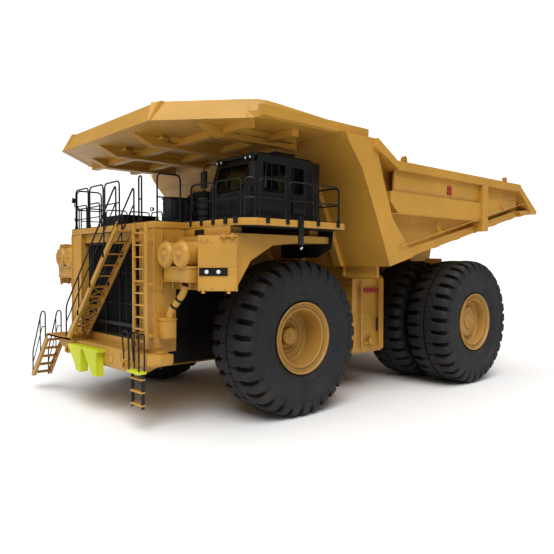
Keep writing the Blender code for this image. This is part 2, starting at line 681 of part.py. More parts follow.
def build_stairs():
    """The diagonal stairway up the front, its landing, and the short flight that folds up from it."""
    top_x = LANDING_X[1] + STAIR_RISE
    shapes = flight((top_x, DECK_TOP), STAIR_RISE, STAIR_RISE, int(STAIR_RISE / STEP_RISE))
    back = STAIR_FRONT_Y + STAIR_WIDTH - GAP
    shapes.append(
        box((LANDING_X[0], STAIR_FRONT_Y, BUMPER_TOP + GAP), (LANDING_X[1] + 0.25, back, LANDING_TOP))
    )
    for y in (STAIR_FRONT_Y + STRINGER / 2, back - STRINGER / 2):
        rail = [
            (LANDING_X[1] - 0.02, y, LANDING_TOP - 0.02),
            (LANDING_X[1] - 0.02, y, LANDING_TOP + STAIR_RAIL_HEIGHT),
            (top_x - 0.06, y, DECK_TOP + STAIR_RAIL_HEIGHT),
            (top_x - 0.06, y, DECK_TOP - 0.12),
        ]
        shapes.append(tube(rail))
        for share in (1 / 3, 2 / 3):
            x = LANDING_X[1] + STAIR_RISE * share
            z = LANDING_TOP + STAIR_RISE * share
            shapes.append(bar((x, y, z - 0.10), (x, y, z + STAIR_RAIL_HEIGHT), RAIL_TUBE, POST_SIDES))
    solid("upper_stairway", YELLOW, shapes)

    pivot = (LANDING_X[0] - STAIR_PIN_RADIUS - GAP, STAIR_FRONT_Y, LANDING_TOP - STAIR_PIN_RADIUS)
    hinge = joint_empty("lower_stairway_hinge", pivot)
    top = (pivot[0], LANDING_TOP)
    shapes = flight(top, LOWER_STAIR_RUN, LOWER_STAIR_DROP, 5)
    shapes.append(bar((pivot[0], STAIR_FRONT_Y + 0.01, pivot[2]), (pivot[0], back - 0.01, pivot[2]), STAIR_PIN_RADIUS))
    foot_x, foot_z = top[0] - LOWER_STAIR_RUN, top[1] - LOWER_STAIR_DROP
    for y in (STAIR_FRONT_Y + STRINGER / 2, back - STRINGER / 2):
        rail = [
            (foot_x + 0.06, y, foot_z - 0.10),
            (foot_x + 0.06, y, foot_z + 0.72),
            (top[0] - 0.42, y, top[1] + 0.62),
            (top[0] - 0.20, y, top[1] + 0.62),
            (top[0] - 0.20, y, top[1] - 0.30),
        ]
        shapes.append(tube(rail))
    solid("lower_stairway", YELLOW, shapes, joint=hinge)


def ladder(x_range, y, bottom, top, post=0.035):
    """Two upright posts and their rungs, between two heights."""
    shapes = []
    for x in x_range:
        shapes.append(box((x - post, y - post, bottom), (x + post, y + post, top)))
    count = int((top - bottom - 0.1) / RUNG_SPACING)
    for i in range(count):
        z = bottom + 0.15 + i * RUNG_SPACING
        shapes.append(box((x_range[0], y - 0.03, z - 0.015), (x_range[1], y + 0.03, z + 0.015)))
    return shapes


def build_ladders():
    """The upright ladder on the left column, the hanging ladder under the bumper and the chocks beside it."""
    y = LADDER_FACE_Y - LADDER_STANDOFF
    bottom = BUMPER_TOP + 0.12
    shapes = ladder(LADDER_X, y, bottom, DECK_TOP - 0.06)
    for x in LADDER_X:
        for z in (bottom + 0.3, (bottom + DECK_TOP) / 2, DECK_TOP - 0.45):
            shapes.append(box((x - 0.02, y, z - 0.03), (x + 0.02, LADDER_FACE_Y - GAP, z + 0.03)))
    solid("front_ladder", YELLOW, shapes)

    face = FRONT_Y - 3.72 - GAP
    front = STAIR_FRONT_Y + 0.01
    x_range = (2.04, 2.50)
    shapes = ladder(x_range, face - 0.08, 0.55, BUMPER_UNDER + 0.15, post=0.02)
    shapes.append(box((1.98, front, BUMPER_UNDER + 0.12), (2.54, face, BUMPER_UNDER + 0.18)))
    for x in x_range:
        loop = [
            (x, front + 0.03, BUMPER_UNDER + 0.15),
            (x, front + 0.03, BUMPER_UNDER + 1.05),
            (x, face - 0.04, BUMPER_UNDER + 1.05),
            (x, face - 0.04, BUMPER_UNDER + 0.15),
        ]
        shapes.append(tube(loop, 0.018))
    solid("hanging_ladder", BLACK, shapes)

    shapes = [box((-1.46, front, BUMPER_TOP - 0.16), (0.44, face, BUMPER_TOP - 0.10))]
    for x in (-1.46, -0.52):
        wedge = [
            (x, BUMPER_TOP - 0.12),
            (x + 0.84, BUMPER_TOP - 0.12),
            (x + 0.84, BUMPER_TOP - 0.78),
            (x + 0.60, BUMPER_TOP - 0.78),
        ]
        shapes.append(prism("y", wedge, front, face))
    solid("wheel_chocks", LIME, shapes)


def rail_run(points, height, post_spacing=1.2):
    """A handrail over the deck: a top rail, a knee rail and posts, through (x, y) corners."""
    base = DECK_TOP + GAP
    shapes = []
    for level in (height, height / 2):
        shapes.append(tube([(x, y, base + level) for x, y in points]))
    spots = [points[0]]
    for (ax, ay), (bx, by) in zip(points, points[1:]):
        count = max(1, round(math.hypot(bx - ax, by - ay) / post_spacing))
        for i in range(1, count + 1):
            spots.append((ax + (bx - ax) * i / count, ay + (by - ay) * i / count))
    for x, y in spots:
        shapes.append(bar((x, y, base), (x, y, base + height + RAIL_TUBE * 0.6), RAIL_TUBE * 1.1, POST_SIDES))
    return shapes


def build_handrails():
    """Rails round the deck's edges."""
    edge = DECK_HALF_WIDTH - 0.06
    side_run = [
        (TOWER_HALF_WIDTH + 0.10, FRONT_Y - 2.48),
        (edge - 0.22, FRONT_Y - 2.42),
        (edge, FRONT_Y - 2.18),
        (edge, FRONT_Y + 0.52),
        (CAB_INNER_X + 0.55, FRONT_Y + 0.52),
    ]
    for side, sign in SIDES:
        shapes = rail_run(side_run, HANDRAIL_HEIGHT - 0.18)
        solid("handrail_" + side, BLACK, on_side(shapes, sign))
    front_run = [
        (LANDING_X[1] + STAIR_RISE - 0.95, LADDER_FACE_Y + 0.06),
        (-TOWER_HALF_WIDTH + 0.08, LADDER_FACE_Y + 0.06),
        (-TOWER_HALF_WIDTH + 0.08, FRONT_Y - 2.48),
    ]
    solid("handrail_front", BLACK, rail_run(front_run, HANDRAIL_HEIGHT + 0.08))
    gate_run = [
        (TOWER_HALF_WIDTH - 0.06, FRONT_Y - 2.60),
        (TOWER_HALF_WIDTH - 0.06, LADDER_FACE_Y + 0.06),
    ]
    solid("handrail_gate", BLACK, rail_run(gate_run, HANDRAIL_HEIGHT + 0.08))


def aimed(shape, start, end):
    """A shape drawn up +Z from the origin, laid from one point towards another."""
    turn = (Vector(end) - Vector(start)).to_track_quat("Z", "Y").to_matrix().to_4x4()
    bmesh.ops.transform(shape, matrix=Matrix.Translation(Vector(start)) @ turn, verts=shape.verts)
    return shape


def build_front_axle():
    """Each side: the fixed strut, the spindle that turns under it, the rim and the tyre. The tie rod joins them."""
    strut_bottom = AXLE_Z + 0.58
    arm_y = FRONT_Y + 0.95
    arm_z = AXLE_Z - RAIL_DROP - 0.08
    for side, sign in SIDES:
        kingpin = (sign * KINGPIN_X, FRONT_Y, AXLE_Z)
        strut = [
            bar((KINGPIN_X, FRONT_Y, strut_bottom), (KINGPIN_X, FRONT_Y, AXLE_Z + 1.85), STRUT_RADIUS - 0.02, 16),
            box((KINGPIN_X - STRUT_RADIUS, FRONT_Y - 0.24, AXLE_Z + 0.75), (KINGPIN_X, FRONT_Y + 0.24, AXLE_Z + 1.60)),
        ]
        solid("front_strut_" + side, YELLOW, on_side(strut, sign), smooth=True)

        steer = joint_empty("steer_" + side, kingpin)
        drum_in, drum_out = FRONT_TYRE_X - 0.86, FRONT_TYRE_X - HUB_REACH - GAP
        shaft_end = FRONT_TYRE_X + 0.09
        spindle = [
            bar(
                (KINGPIN_X, FRONT_Y, strut_bottom - 0.35),
                (KINGPIN_X, FRONT_Y, strut_bottom - GAP),
                STRUT_RADIUS - 0.10,
                16,
            ),
            bar((KINGPIN_X, FRONT_Y, arm_z), (KINGPIN_X, FRONT_Y, AXLE_Z + 0.30), STRUT_RADIUS - 0.03, 16),
            turned(
                [
                    (KINGPIN_X, 0),
                    (KINGPIN_X, 0.26),
                    (drum_in, 0.26),
                    (drum_in, 0.60),
                    (drum_out, 0.60),
                    (drum_out, SPINDLE_RADIUS),
                    (shaft_end, SPINDLE_RADIUS),
                    (shaft_end, 0),
                ],
                (0, FRONT_Y, AXLE_Z),
                24,
            ),
            box((KINGPIN_X - 0.10, FRONT_Y, arm_z), (KINGPIN_X + 0.10, arm_y + 0.09, arm_z + 0.12)),
            bar((KINGPIN_X, arm_y, arm_z - 0.16), (KINGPIN_X, arm_y, arm_z + 0.04), 0.04, 12),
        ]
        solid("spindle_" + side, YELLOW, on_side(spindle, sign), joint=steer, smooth=True)

        spin = joint_empty("front_wheel_" + side, (sign * FRONT_TYRE_X, FRONT_Y, AXLE_Z), steer)
        solid("front_tyre_" + side, RUBBER, on_side([tyre_shape(FRONT_TYRE_X, FRONT_Y)], sign), joint=spin, smooth=True)
        flange_in, flange_out = RIM_FLANGE_OFFSET, RIM_FLANGE_OFFSET + RIM_FLANGE_WIDTH
        bore = SPINDLE_RADIUS + RUNNING_GAP
        inside = RIM_SEAT_RADIUS - RIM_WALL
        rim = [
            (0.10, 0),
            (0.10, bore),
            (-HUB_REACH, bore),
            (-HUB_REACH, 0.40),
            (0.0, 0.44),
            (0.0, inside),
            (-flange_out, inside),
            (-flange_out, RIM_FLANGE_RADIUS),
            (-flange_in, RIM_FLANGE_RADIUS),
            (-flange_in, RIM_SEAT_RADIUS - GAP),
            (flange_in, RIM_SEAT_RADIUS - GAP),
            (flange_in, RIM_FLANGE_RADIUS),
            (flange_out, RIM_FLANGE_RADIUS),
            (flange_out, inside + 0.04),
            (0.14, inside - 0.04),
            (0.14, 0.42),
            (0.34, 0.32),
            (0.34, 0),
        ]
        rim_shape = turned(rim, (FRONT_TYRE_X, FRONT_Y, AXLE_Z), TYRE_SIDES, phase=0.5)
        solid("front_rim_" + side, YELLOW, on_side([rim_shape], sign), joint=spin, smooth=True)

    pivot = (KINGPIN_X, arm_y, arm_z - TIE_ROD_EYE / 2 - GAP)
    rod_joint = joint_empty("tie_rod_pivot", pivot, bpy.data.objects["steer_left"])
    low, high = pivot[2] - TIE_ROD_EYE / 2, pivot[2] + TIE_ROD_EYE / 2
    eyes = [bar((x, arm_y, low), (x, arm_y, high), 0.09, 12) for x in (-KINGPIN_X, KINGPIN_X)]
    holes = [
        bar((x, arm_y, pivot[2] - 0.1), (x, arm_y, pivot[2] + 0.1), 0.04 + RUNNING_GAP, 12)
        for x in (-KINGPIN_X, KINGPIN_X)
    ]
    rod = bar((-KINGPIN_X + 0.07, arm_y, pivot[2]), (KINGPIN_X - 0.07, arm_y, pivot[2]), 0.045)
    solid("tie_rod", BLACK, [rod, *eyes], holes, joint=rod_joint)


def tyre_shape(x, y):
    """A tyre whose flat sides touch the ground at the tyre's radius."""
    half = TYRE_WIDTH / 2
    corner = TYRE_RADIUS / math.cos(math.pi / TYRE_SIDES)
    wall = TYRE_RADIUS - RIM_SEAT_RADIUS
    bead = RIM_FLANGE_OFFSET - GAP
    profile = [
        (-bead, RIM_SEAT_RADIUS),
        (-bead, RIM_FLANGE_RADIUS + GAP),
        (-half + 0.03, RIM_SEAT_RADIUS + wall * 0.30),
        (-half, RIM_SEAT_RADIUS + wall * 0.60),
        (-half + 0.02, RIM_SEAT_RADIUS + wall * 0.85),
        (-half + 0.14, corner - 0.02),
        (-half + 0.30, corner),
    ]
    profile += [(-along, radius) for along, radius in profile[::-1]]
    return turned(profile, (x, y, AXLE_Z), TYRE_SIDES, phase=0.5)


def build_rear_axle():
    """The fixed housing with its A-frame and struts, and each side's twin wheels on one hub."""
    tube_end = INNER_TYRE_X - RIM_FLANGE_OFFSET - RIM_FLANGE_WIDTH - GAP
    spindle_end = OUTER_TYRE_X - 0.58
    half = [
        (0.50, 1.04),
        (0.72, AXLE_TUBE_RADIUS),
        (tube_end, AXLE_TUBE_RADIUS),
        (tube_end, REAR_SPINDLE_RADIUS),
        (spindle_end, REAR_SPINDLE_RADIUS),
        (spindle_end, 0),
    ]
    profile = [(-x, radius) for x, radius in half[::-1]] + half
    nose_y = REAR_Y - 2.20 + GAP
    a_frame = [(-0.55, REAR_Y - 0.3), (-0.20, nose_y), (0.20, nose_y), (0.55, REAR_Y - 0.3)]
    shapes = [
        turned(profile, (0, REAR_Y, AXLE_Z), 24),
        prism("z", a_frame, AXLE_Z - 0.20, AXLE_Z + 0.20),
    ]
    bracket_z = PIVOT_Z - 0.40
    strut_x = RAIL_OUTER_X + 0.18
    for _, sign in SIDES:
        strut = [
            bar((strut_x, REAR_Y + 0.58, AXLE_Z - 0.10), (strut_x, REAR_Y + 1.30, bracket_z - 0.10), 0.12, 12),
            box((strut_x - 0.11, REAR_Y + 1.20, bracket_z - 0.20), (strut_x + 0.11, REAR_Y + 1.42, bracket_z - GAP)),
        ]
        shapes += on_side(strut, sign)
    solid("rear_axle_housing", YELLOW, shapes, smooth=True)

    flange_in, flange_out = RIM_FLANGE_OFFSET, RIM_FLANGE_OFFSET + RIM_FLANGE_WIDTH
    seat = RIM_SEAT_RADIUS - GAP
    bore = REAR_SPINDLE_RADIUS + RUNNING_GAP
    outer, inner = OUTER_TYRE_X, INNER_TYRE_X
    hub = [
        (spindle_end + 0.02, 0),
        (spindle_end + 0.02, bore),
        (inner - flange_out, bore),
        (inner - flange_out, RIM_FLANGE_RADIUS),
        (inner - flange_in, RIM_FLANGE_RADIUS),
        (inner - flange_in, seat),
        (inner + flange_in, seat),
        (inner + flange_in, RIM_FLANGE_RADIUS),
        (inner + flange_out, RIM_FLANGE_RADIUS),
        (inner + flange_out, seat),
        (outer - flange_out, seat),
        (outer - flange_out, RIM_FLANGE_RADIUS),
        (outer - flange_in, RIM_FLANGE_RADIUS),
        (outer - flange_in, seat),
        (outer + flange_in, seat),
        (outer + flange_in, RIM_FLANGE_RADIUS),
        (outer + flange_out, RIM_FLANGE_RADIUS),
        (outer + flange_out, RIM_SEAT_RADIUS - RIM_WALL + 0.04),
        (outer + 0.10, RIM_SEAT_RADIUS - RIM_WALL - 0.04),
        (outer + 0.10, 0.48),
        (outer + 0.46, 0.42),
        (outer + 0.54, 0.30),
        (outer + 0.54, 0),
    ]
    for side, sign in SIDES:
        spin = joint_empty("rear_wheels_" + side, (sign * (outer + inner) / 2, REAR_Y, AXLE_Z))
        hub_shape = turned(hub, (0, REAR_Y, AXLE_Z), TYRE_SIDES, phase=0.5)
        solid("rear_hub_" + side, YELLOW, on_side([hub_shape], sign), joint=spin, smooth=True)
        for which, x in (("outer", outer), ("inner", inner)):
            name = f"rear_tyre_{side}_{which}"
            solid(name, RUBBER, on_side([tyre_shape(x, REAR_Y)], sign), joint=spin, smooth=True)


def edge_z(y):
    """Height of the body's lower side edge."""
    return FLOOR_FRONT_Z + (y - FLOOR_FRONT_Y) * FLOOR_SLOPE


def floor_ring(y, above, below, half):
    """The dished floor's cross-section at y, between two heights over the side edge."""
    z = edge_z(y)
    top = [(-half, y, z + above), (0, y, z + above - FLOOR_DISH), (half, y, z + above)]
    return top + [(half, y, z + below), (0, y, z + below - FLOOR_DISH), (-half, y, z + below)]


def build_body():
    """The load bed: dished floor on two beams, side walls with their ribs, front wall and canopy."""
    hinge = joint_empty("bed_hinge", (0, PIVOT_Y, PIVOT_Z))
    half = BODY_INSIDE_HALF - GAP
    start, end = FLOOR_FRONT_Y + 0.22, TAIL_Y - 0.30
    plate_low = FLOOR_LIFT - FLOOR_PLATE
    shapes = [loft(floor_ring(start, FLOOR_LIFT, plate_low, half), floor_ring(end, FLOOR_LIFT, plate_low, half))]
    rib_count = 7
    for i in range(rib_count):
        y = start + 0.35 + (end - start - 0.9) * i / (rib_count - 1)
        ring = floor_ring(y, FLOOR_LIFT - 0.08, FLOOR_LIFT - FLOOR_PLATE - 0.17, half - 0.05)
        far = floor_ring(y + 0.30, FLOOR_LIFT - 0.08, FLOOR_LIFT - FLOOR_PLATE - 0.17, half - 0.05)
        shapes.append(loft(ring, far))
    buried = FLOOR_LIFT - 0.42
    rest = PIVOT_Z - 0.05 + GAP
    beam = [
        (FRONT_Y + 3.20, rest),
        (PIVOT_Y - 0.60, rest),
        (PIVOT_Y - 0.45, rest + 0.35),
        (REAR_Y + 2.35, edge_z(REAR_Y + 2.35) + buried),
        (FRONT_Y + 3.20, edge_z(FRONT_Y + 3.20) + buried),
    ]
    ear_top = (REAR_Y + 0.60, REAR_Y + 2.60)
    ear = [
        (ear_top[1], edge_z(ear_top[1]) + buried),
        (ear_top[0], edge_z(ear_top[0]) + buried),
        (PIVOT_Y - 0.26, PIVOT_Z - 0.10),
        (PIVOT_Y - 0.12, PIVOT_Z - 0.26),
        (PIVOT_Y + 0.12, PIVOT_Z - 0.26),
        (PIVOT_Y + 0.26, PIVOT_Z - 0.10),
    ]
    for _, sign in SIDES:
        carried = [
            prism("x", beam, RAIL_INNER_X, RAIL_OUTER_X),
            prism("x", ear, EAR_INNER_X, EAR_OUTER_X),
        ]
        shapes += on_side(carried, sign)
    reach = EAR_OUTER_X + 0.1
    bores = [bar((-reach, PIVOT_Y, PIVOT_Z), (reach, PIVOT_Y, PIVOT_Z), PIVOT_PIN_RADIUS + RUNNING_GAP, 16)]
    solid("body_floor", YELLOW, shapes, bores, joint=hinge)

    top = CANOPY_UNDER - GAP
    front_line = [
        (FRONT_Y + 2.41, FLOOR_FRONT_Z),
        (FRONT_Y + 1.77, DECK_TOP + 0.34),
        (FRONT_Y + 1.22, DECK_TOP + 1.46),
        (FRONT_Y + 0.73, DECK_TOP + 2.03),
    ]
    wall_back = [(y + 0.20, z) for y, z in front_line]
    wall = [*front_line, (FRONT_Y + 0.60, top), (FRONT_Y + 0.86, top), *wall_back[::-1]]
    wall_shapes = [prism("x", wall, -half, half)]
    for x in (-3.0, -1.5, 0, 1.5, 3.0):
        rib = [(y - 0.16, z) for y, z in front_line[:3]] + [(y + 0.05, z) for y, z in front_line[:3]][::-1]
        wall_shapes.append(prism("x", rib, x - 0.14, x + 0.14))
    solid("body_front_wall", YELLOW, wall_shapes, joint=hinge)

    tail_top, tail_tip = (REAR_Y + 2.60, RAIL_TOP_Z), (TAIL_Y, DECK_TOP + 0.91)
    tail_low = (REAR_Y + 2.90, edge_z(REAR_Y + 2.90))
    corner = (FRONT_Y + 2.60, RAIL_TOP_Z)
    plate = [*front_line, (FRONT_Y + 0.60, top), (CANOPY_BACK_Y, top), corner, tail_top, tail_tip, tail_low]
    post = [
        *front_line,
        (FRONT_Y + 0.60, top),
        (CANOPY_BACK_Y, top),
        (FRONT_Y + 2.12, DECK_TOP + 1.21),
        (FRONT_Y + 2.52, DECK_TOP + 0.22),
        (FRONT_Y + 3.50, edge_z(FRONT_Y + 3.50) + 0.02),
    ]
    beam_y = (FRONT_Y + 2.40, FRONT_Y + 7.20)
    side_beam = [
        (beam_y[0], DECK_TOP + 0.66),
        (beam_y[0] + 0.35, DECK_TOP + 0.37),
        (beam_y[1], DECK_TOP + 0.37),
        (beam_y[1], DECK_TOP + 0.95),
        (beam_y[0], DECK_TOP + 0.95),
    ]
    rib_y = (REAR_Y - 0.065, REAR_Y + 0.295)
    inner = RIB_X - OVERLAP
    proud = BODY_HALF_WIDTH
    rail_depth = 0.25
    slope_rail = [
        (CANOPY_BACK_Y, top),
        corner,
        (corner[0] + 0.1, RAIL_TOP_Z - rail_depth),
        (CANOPY_BACK_Y - 0.10, top - 0.25),
    ]
    lower_y = (FRONT_Y + 3.30, REAR_Y + 2.85)
    lower_rail = [
        (lower_y[0], edge_z(lower_y[0])),
        (lower_y[1], edge_z(lower_y[1])),
        (lower_y[1], edge_z(lower_y[1]) + 0.24),
        (lower_y[0], edge_z(lower_y[0]) + 0.24),
    ]
    tail_post = [
        (tail_top[0] - 0.30, tail_top[1] - 0.05),
        tail_top,
        tail_tip,
        (tail_tip[0] - 0.08, tail_tip[1] - 0.10),
        (tail_tip[0] - 0.45, tail_tip[1] - 0.02),
    ]
    tail_foot = [
        tail_low,
        tail_tip,
        (tail_tip[0] - 0.35, tail_tip[1] + 0.05),
        (tail_low[0] - 0.15, tail_low[1] + 0.20),
    ]
    for side, sign in SIDES:
        shapes = [
            prism("x", plate, BODY_INSIDE_HALF, RIB_X),
            prism("x", post, inner, proud - 0.10),
            prism("x", side_beam, inner, proud - 0.08),
            box((inner, rib_y[0], edge_z(rib_y[0]) + 0.05), (proud, rib_y[1], RAIL_TOP_Z - 0.02)),
            box((inner, corner[0], RAIL_TOP_Z - rail_depth), (proud, tail_top[0], RAIL_TOP_Z)),
            prism("x", slope_rail, inner, proud),
            prism("x", lower_rail, inner, RIB_X + 0.16),
            prism("x", tail_post, inner, proud - 0.04),
            prism("x", tail_foot, inner, proud - 0.14),
        ]
        solid("body_side_" + side, YELLOW, on_side(shapes, sign), joint=hinge)
    build_canopy(hinge)


def build_canopy(hinge):
    """The roof over the cab: a plate with a raised lip, side rails and beams underneath."""
    low, high = CANOPY_UNDER, CANOPY_UNDER + CANOPY_PLATE
    edge = CANOPY_HALF_WIDTH
    nose, shoulder = (2.50, CANOPY_FRONT_Y + 0.03), (4.20, FRONT_Y - 2.12)
    lip_rise, lean, thickness = 0.50, 0.30, 0.12
    chamfer = math.atan2(shoulder[1] - nose[1], shoulder[0] - nose[0])
    inset = thickness * 0.9
    half_plan = [
        (nose[0] - inset * math.tan(chamfer / 2), nose[1] + inset),
        (shoulder[0] - inset * math.sin(chamfer), shoulder[1] + inset * math.cos(chamfer)),
        (edge - 0.02, FRONT_Y - 1.93),
        (edge - 0.02, CANOPY_BACK_Y - 0.02),
    ]
    plan = half_plan + [(-x, y) for x, y in half_plan[::-1]]
    shapes = [prism("z", plan, low, high)]
    lip_low = [(-shoulder[0], shoulder[1]), (-nose[0], nose[1]), nose, shoulder]
    for a, b in zip(lip_low, lip_low[1:]):
        along = Vector((b[0] - a[0], b[1] - a[1])).normalized()
        back = Vector((-along.y, along.x))
        rings = []
        for x, y in (a, b):
            foot = Vector((x, y)) - along * 0.03 * (1 if (x, y) == a else -1)
            head = foot + back * lean
            rings.append(
                [
                    (foot.x, foot.y, low - 0.01),
                    (head.x, head.y, low + lip_rise),
                    (head.x + back.x * thickness, head.y + back.y * thickness, low + lip_rise),
                    (foot.x + back.x * thickness, foot.y + back.y * thickness, low - 0.01),
                ]
            )
        shapes.append(loft(*rings))
    for _, sign in SIDES:
        rail = box((edge - 0.14, FRONT_Y - 1.95, low + 0.03), (edge, CANOPY_BACK_Y - GAP, low + 0.27))
        shapes += on_side([rail], sign)
    depth = 0.24
    for x in (-3.0, -1.0, 1.0, 3.0):
        front = FRONT_Y - (3.3 if abs(x) < 2 else 2.6)
        beam = [
            (front, low + 0.02),
            (front + 0.6, low - depth),
            (FRONT_Y + 0.50, low - depth),
            (FRONT_Y + 0.50, low + 0.02),
        ]
        shapes.append(prism("x", beam, x - 0.12, x + 0.12))
    for y in (FRONT_Y - 2.0, FRONT_Y - 0.6):
        shapes.append(box((-4.1, y, low - depth * 0.7), (4.1, y + 0.22, low + 0.02)))
    solid("body_canopy", YELLOW, shapes, joint=hinge)


def build_hoists():
    """A lift cylinder on each side: its barrel on the frame's pin, its rod's eye and pin against the body's beam."""
    base, eye = Vector((HOIST_X, *HOIST_BASE)), Vector((HOIST_X, *HOIST_EYE))
    length = (eye - base).length
    along = (eye - base) / length
    barrel_end = length - 0.52
    barrel_face = Vector((HOIST_X - RAIL_OUTER_X - 0.01 - GAP, 0, 0))
    rod_face = Vector((HOIST_X - RAIL_OUTER_X - GAP, 0, 0))
    wide = Vector((0.12, 0, 0))
    pin_head = Vector((0.03, 0, 0))
    for side, sign in SIDES:
        swing = joint_empty("hoist_" + side, (sign * base.x, base.y, base.z))
        bore = HOIST_ROD_RADIUS + RUNNING_GAP
        profile = [
            (HOIST_PIN_RADIUS, 0),
            (HOIST_PIN_RADIUS, HOIST_RADIUS),
            (barrel_end, HOIST_RADIUS),
            (barrel_end, bore),
            (0.30, bore),
            (0.30, 0),
        ]
        barrel = [
            aimed(turned(profile, (0, 0, 0), 16, "z"), base, eye),
            bar(base - barrel_face, base + wide, HOIST_RADIUS - 0.01, 16),
        ]
        pin_hole = HOIST_PIN_RADIUS + RUNNING_GAP
        across = Vector((0.30, 0, 0))
        solid(
            "hoist_barrel_" + side,
            YELLOW,
            on_side(barrel, sign),
            on_side([bar(base - across, base + across, pin_hole, 16)], sign),
            joint=swing,
            smooth=True,
        )
        slide = joint_empty("hoist_slide_" + side, (sign * eye.x, eye.y, eye.z), swing)
        rod = [
            bar(base + along * ROD_START, eye - along * HOIST_PIN_RADIUS, HOIST_ROD_RADIUS, 16),
            bar(eye - rod_face, eye + wide, HOIST_RADIUS - 0.01, 16),
            bar(eye, eye + wide + pin_head, HOIST_PIN_RADIUS, 16),
        ]
        solid("hoist_rod_" + side, STEEL, on_side(rod, sign), joint=slide, smooth=True)


def main():
    """Builds the truck in an emptied scene."""
    for thing in list(bpy.data.objects):
        bpy.data.objects.remove(thing)
    build_frame()
    build_tanks()
    build_front()
    build_deck()
    build_fenders()
    build_cab()
    build_deck_equipment()
    build_stairs()
    build_ladders()
    build_handrails()
    build_front_axle()
    build_rear_axle()
    build_body()
    build_hoists()


main()
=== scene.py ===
"""Looks of a rigid mining dump truck with a tipping bed and a canopy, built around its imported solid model.

Sizes are in metres, +Z up, -Y forwards and +X to the operator's left. Each
sub-assembly is a class: its fields hold its sizes, its methods build and dress it.
"""

import logging
import math
from collections.abc import Callable, Iterable, Sequence
from dataclasses import dataclass
from enum import Enum

import bmesh
import bpy
from mathutils import Matrix, Vector


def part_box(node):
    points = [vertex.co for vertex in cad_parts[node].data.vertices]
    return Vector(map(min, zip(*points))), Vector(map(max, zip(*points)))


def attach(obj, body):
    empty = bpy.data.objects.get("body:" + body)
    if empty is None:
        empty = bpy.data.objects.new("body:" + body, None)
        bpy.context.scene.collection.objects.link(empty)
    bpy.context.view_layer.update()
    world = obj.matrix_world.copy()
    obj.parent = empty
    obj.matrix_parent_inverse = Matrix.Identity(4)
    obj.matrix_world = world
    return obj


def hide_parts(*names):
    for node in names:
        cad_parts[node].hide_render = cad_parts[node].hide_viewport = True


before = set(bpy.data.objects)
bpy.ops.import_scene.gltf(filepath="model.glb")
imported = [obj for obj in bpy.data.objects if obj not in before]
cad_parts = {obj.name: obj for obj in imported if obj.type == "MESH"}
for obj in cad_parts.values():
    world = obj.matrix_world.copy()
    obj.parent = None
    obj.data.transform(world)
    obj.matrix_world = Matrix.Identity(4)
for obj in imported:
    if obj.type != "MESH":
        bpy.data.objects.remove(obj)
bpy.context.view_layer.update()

LOG = logging.getLogger("dump_truck")

Point = Sequence[float]
FRONT_Y, REAR_Y, AXLE_Z = -3.60, 3.595, 2.014
DECK_TOP, DECK_UNDER = 4.93, 4.75
TOWER_Y = -7.00


class Side(Enum):
    """The operator's left and right."""

    LEFT = 1
    RIGHT = -1

    @property
    def word(self) -> str:
        """The side's name as it stands in node and body names."""
        return self.name.lower()


class Along(Enum):
    """The axis that an outline is pushed along."""

    X = 0
    Y = 1
    Z = 2


def circle(centre: Point, along: Vector, radius: float, sides: int, phase: float = 0.0) -> list[Vector]:
    """Points of a circle round an axis.

    Args:
        centre: The circle's middle.
        along: The axis that it stands square to.
        radius: Its radius.
        sides: How many points it has.
        phase: The first point's angle, in radians.

    Returns:
        The points in order.
    """
    across = along.orthogonal().normalized()
    if abs(along.normalized().z) < 0.9:
        across = along.cross(Vector((0, 0, 1))).normalized()
    up = along.normalized().cross(across)
    turn = math.tau / sides
    return [
        Vector(centre)
        + radius * (math.cos(phase + i * turn) * across + math.sin(phase + i * turn) * up)
        for i in range(sides)
    ]


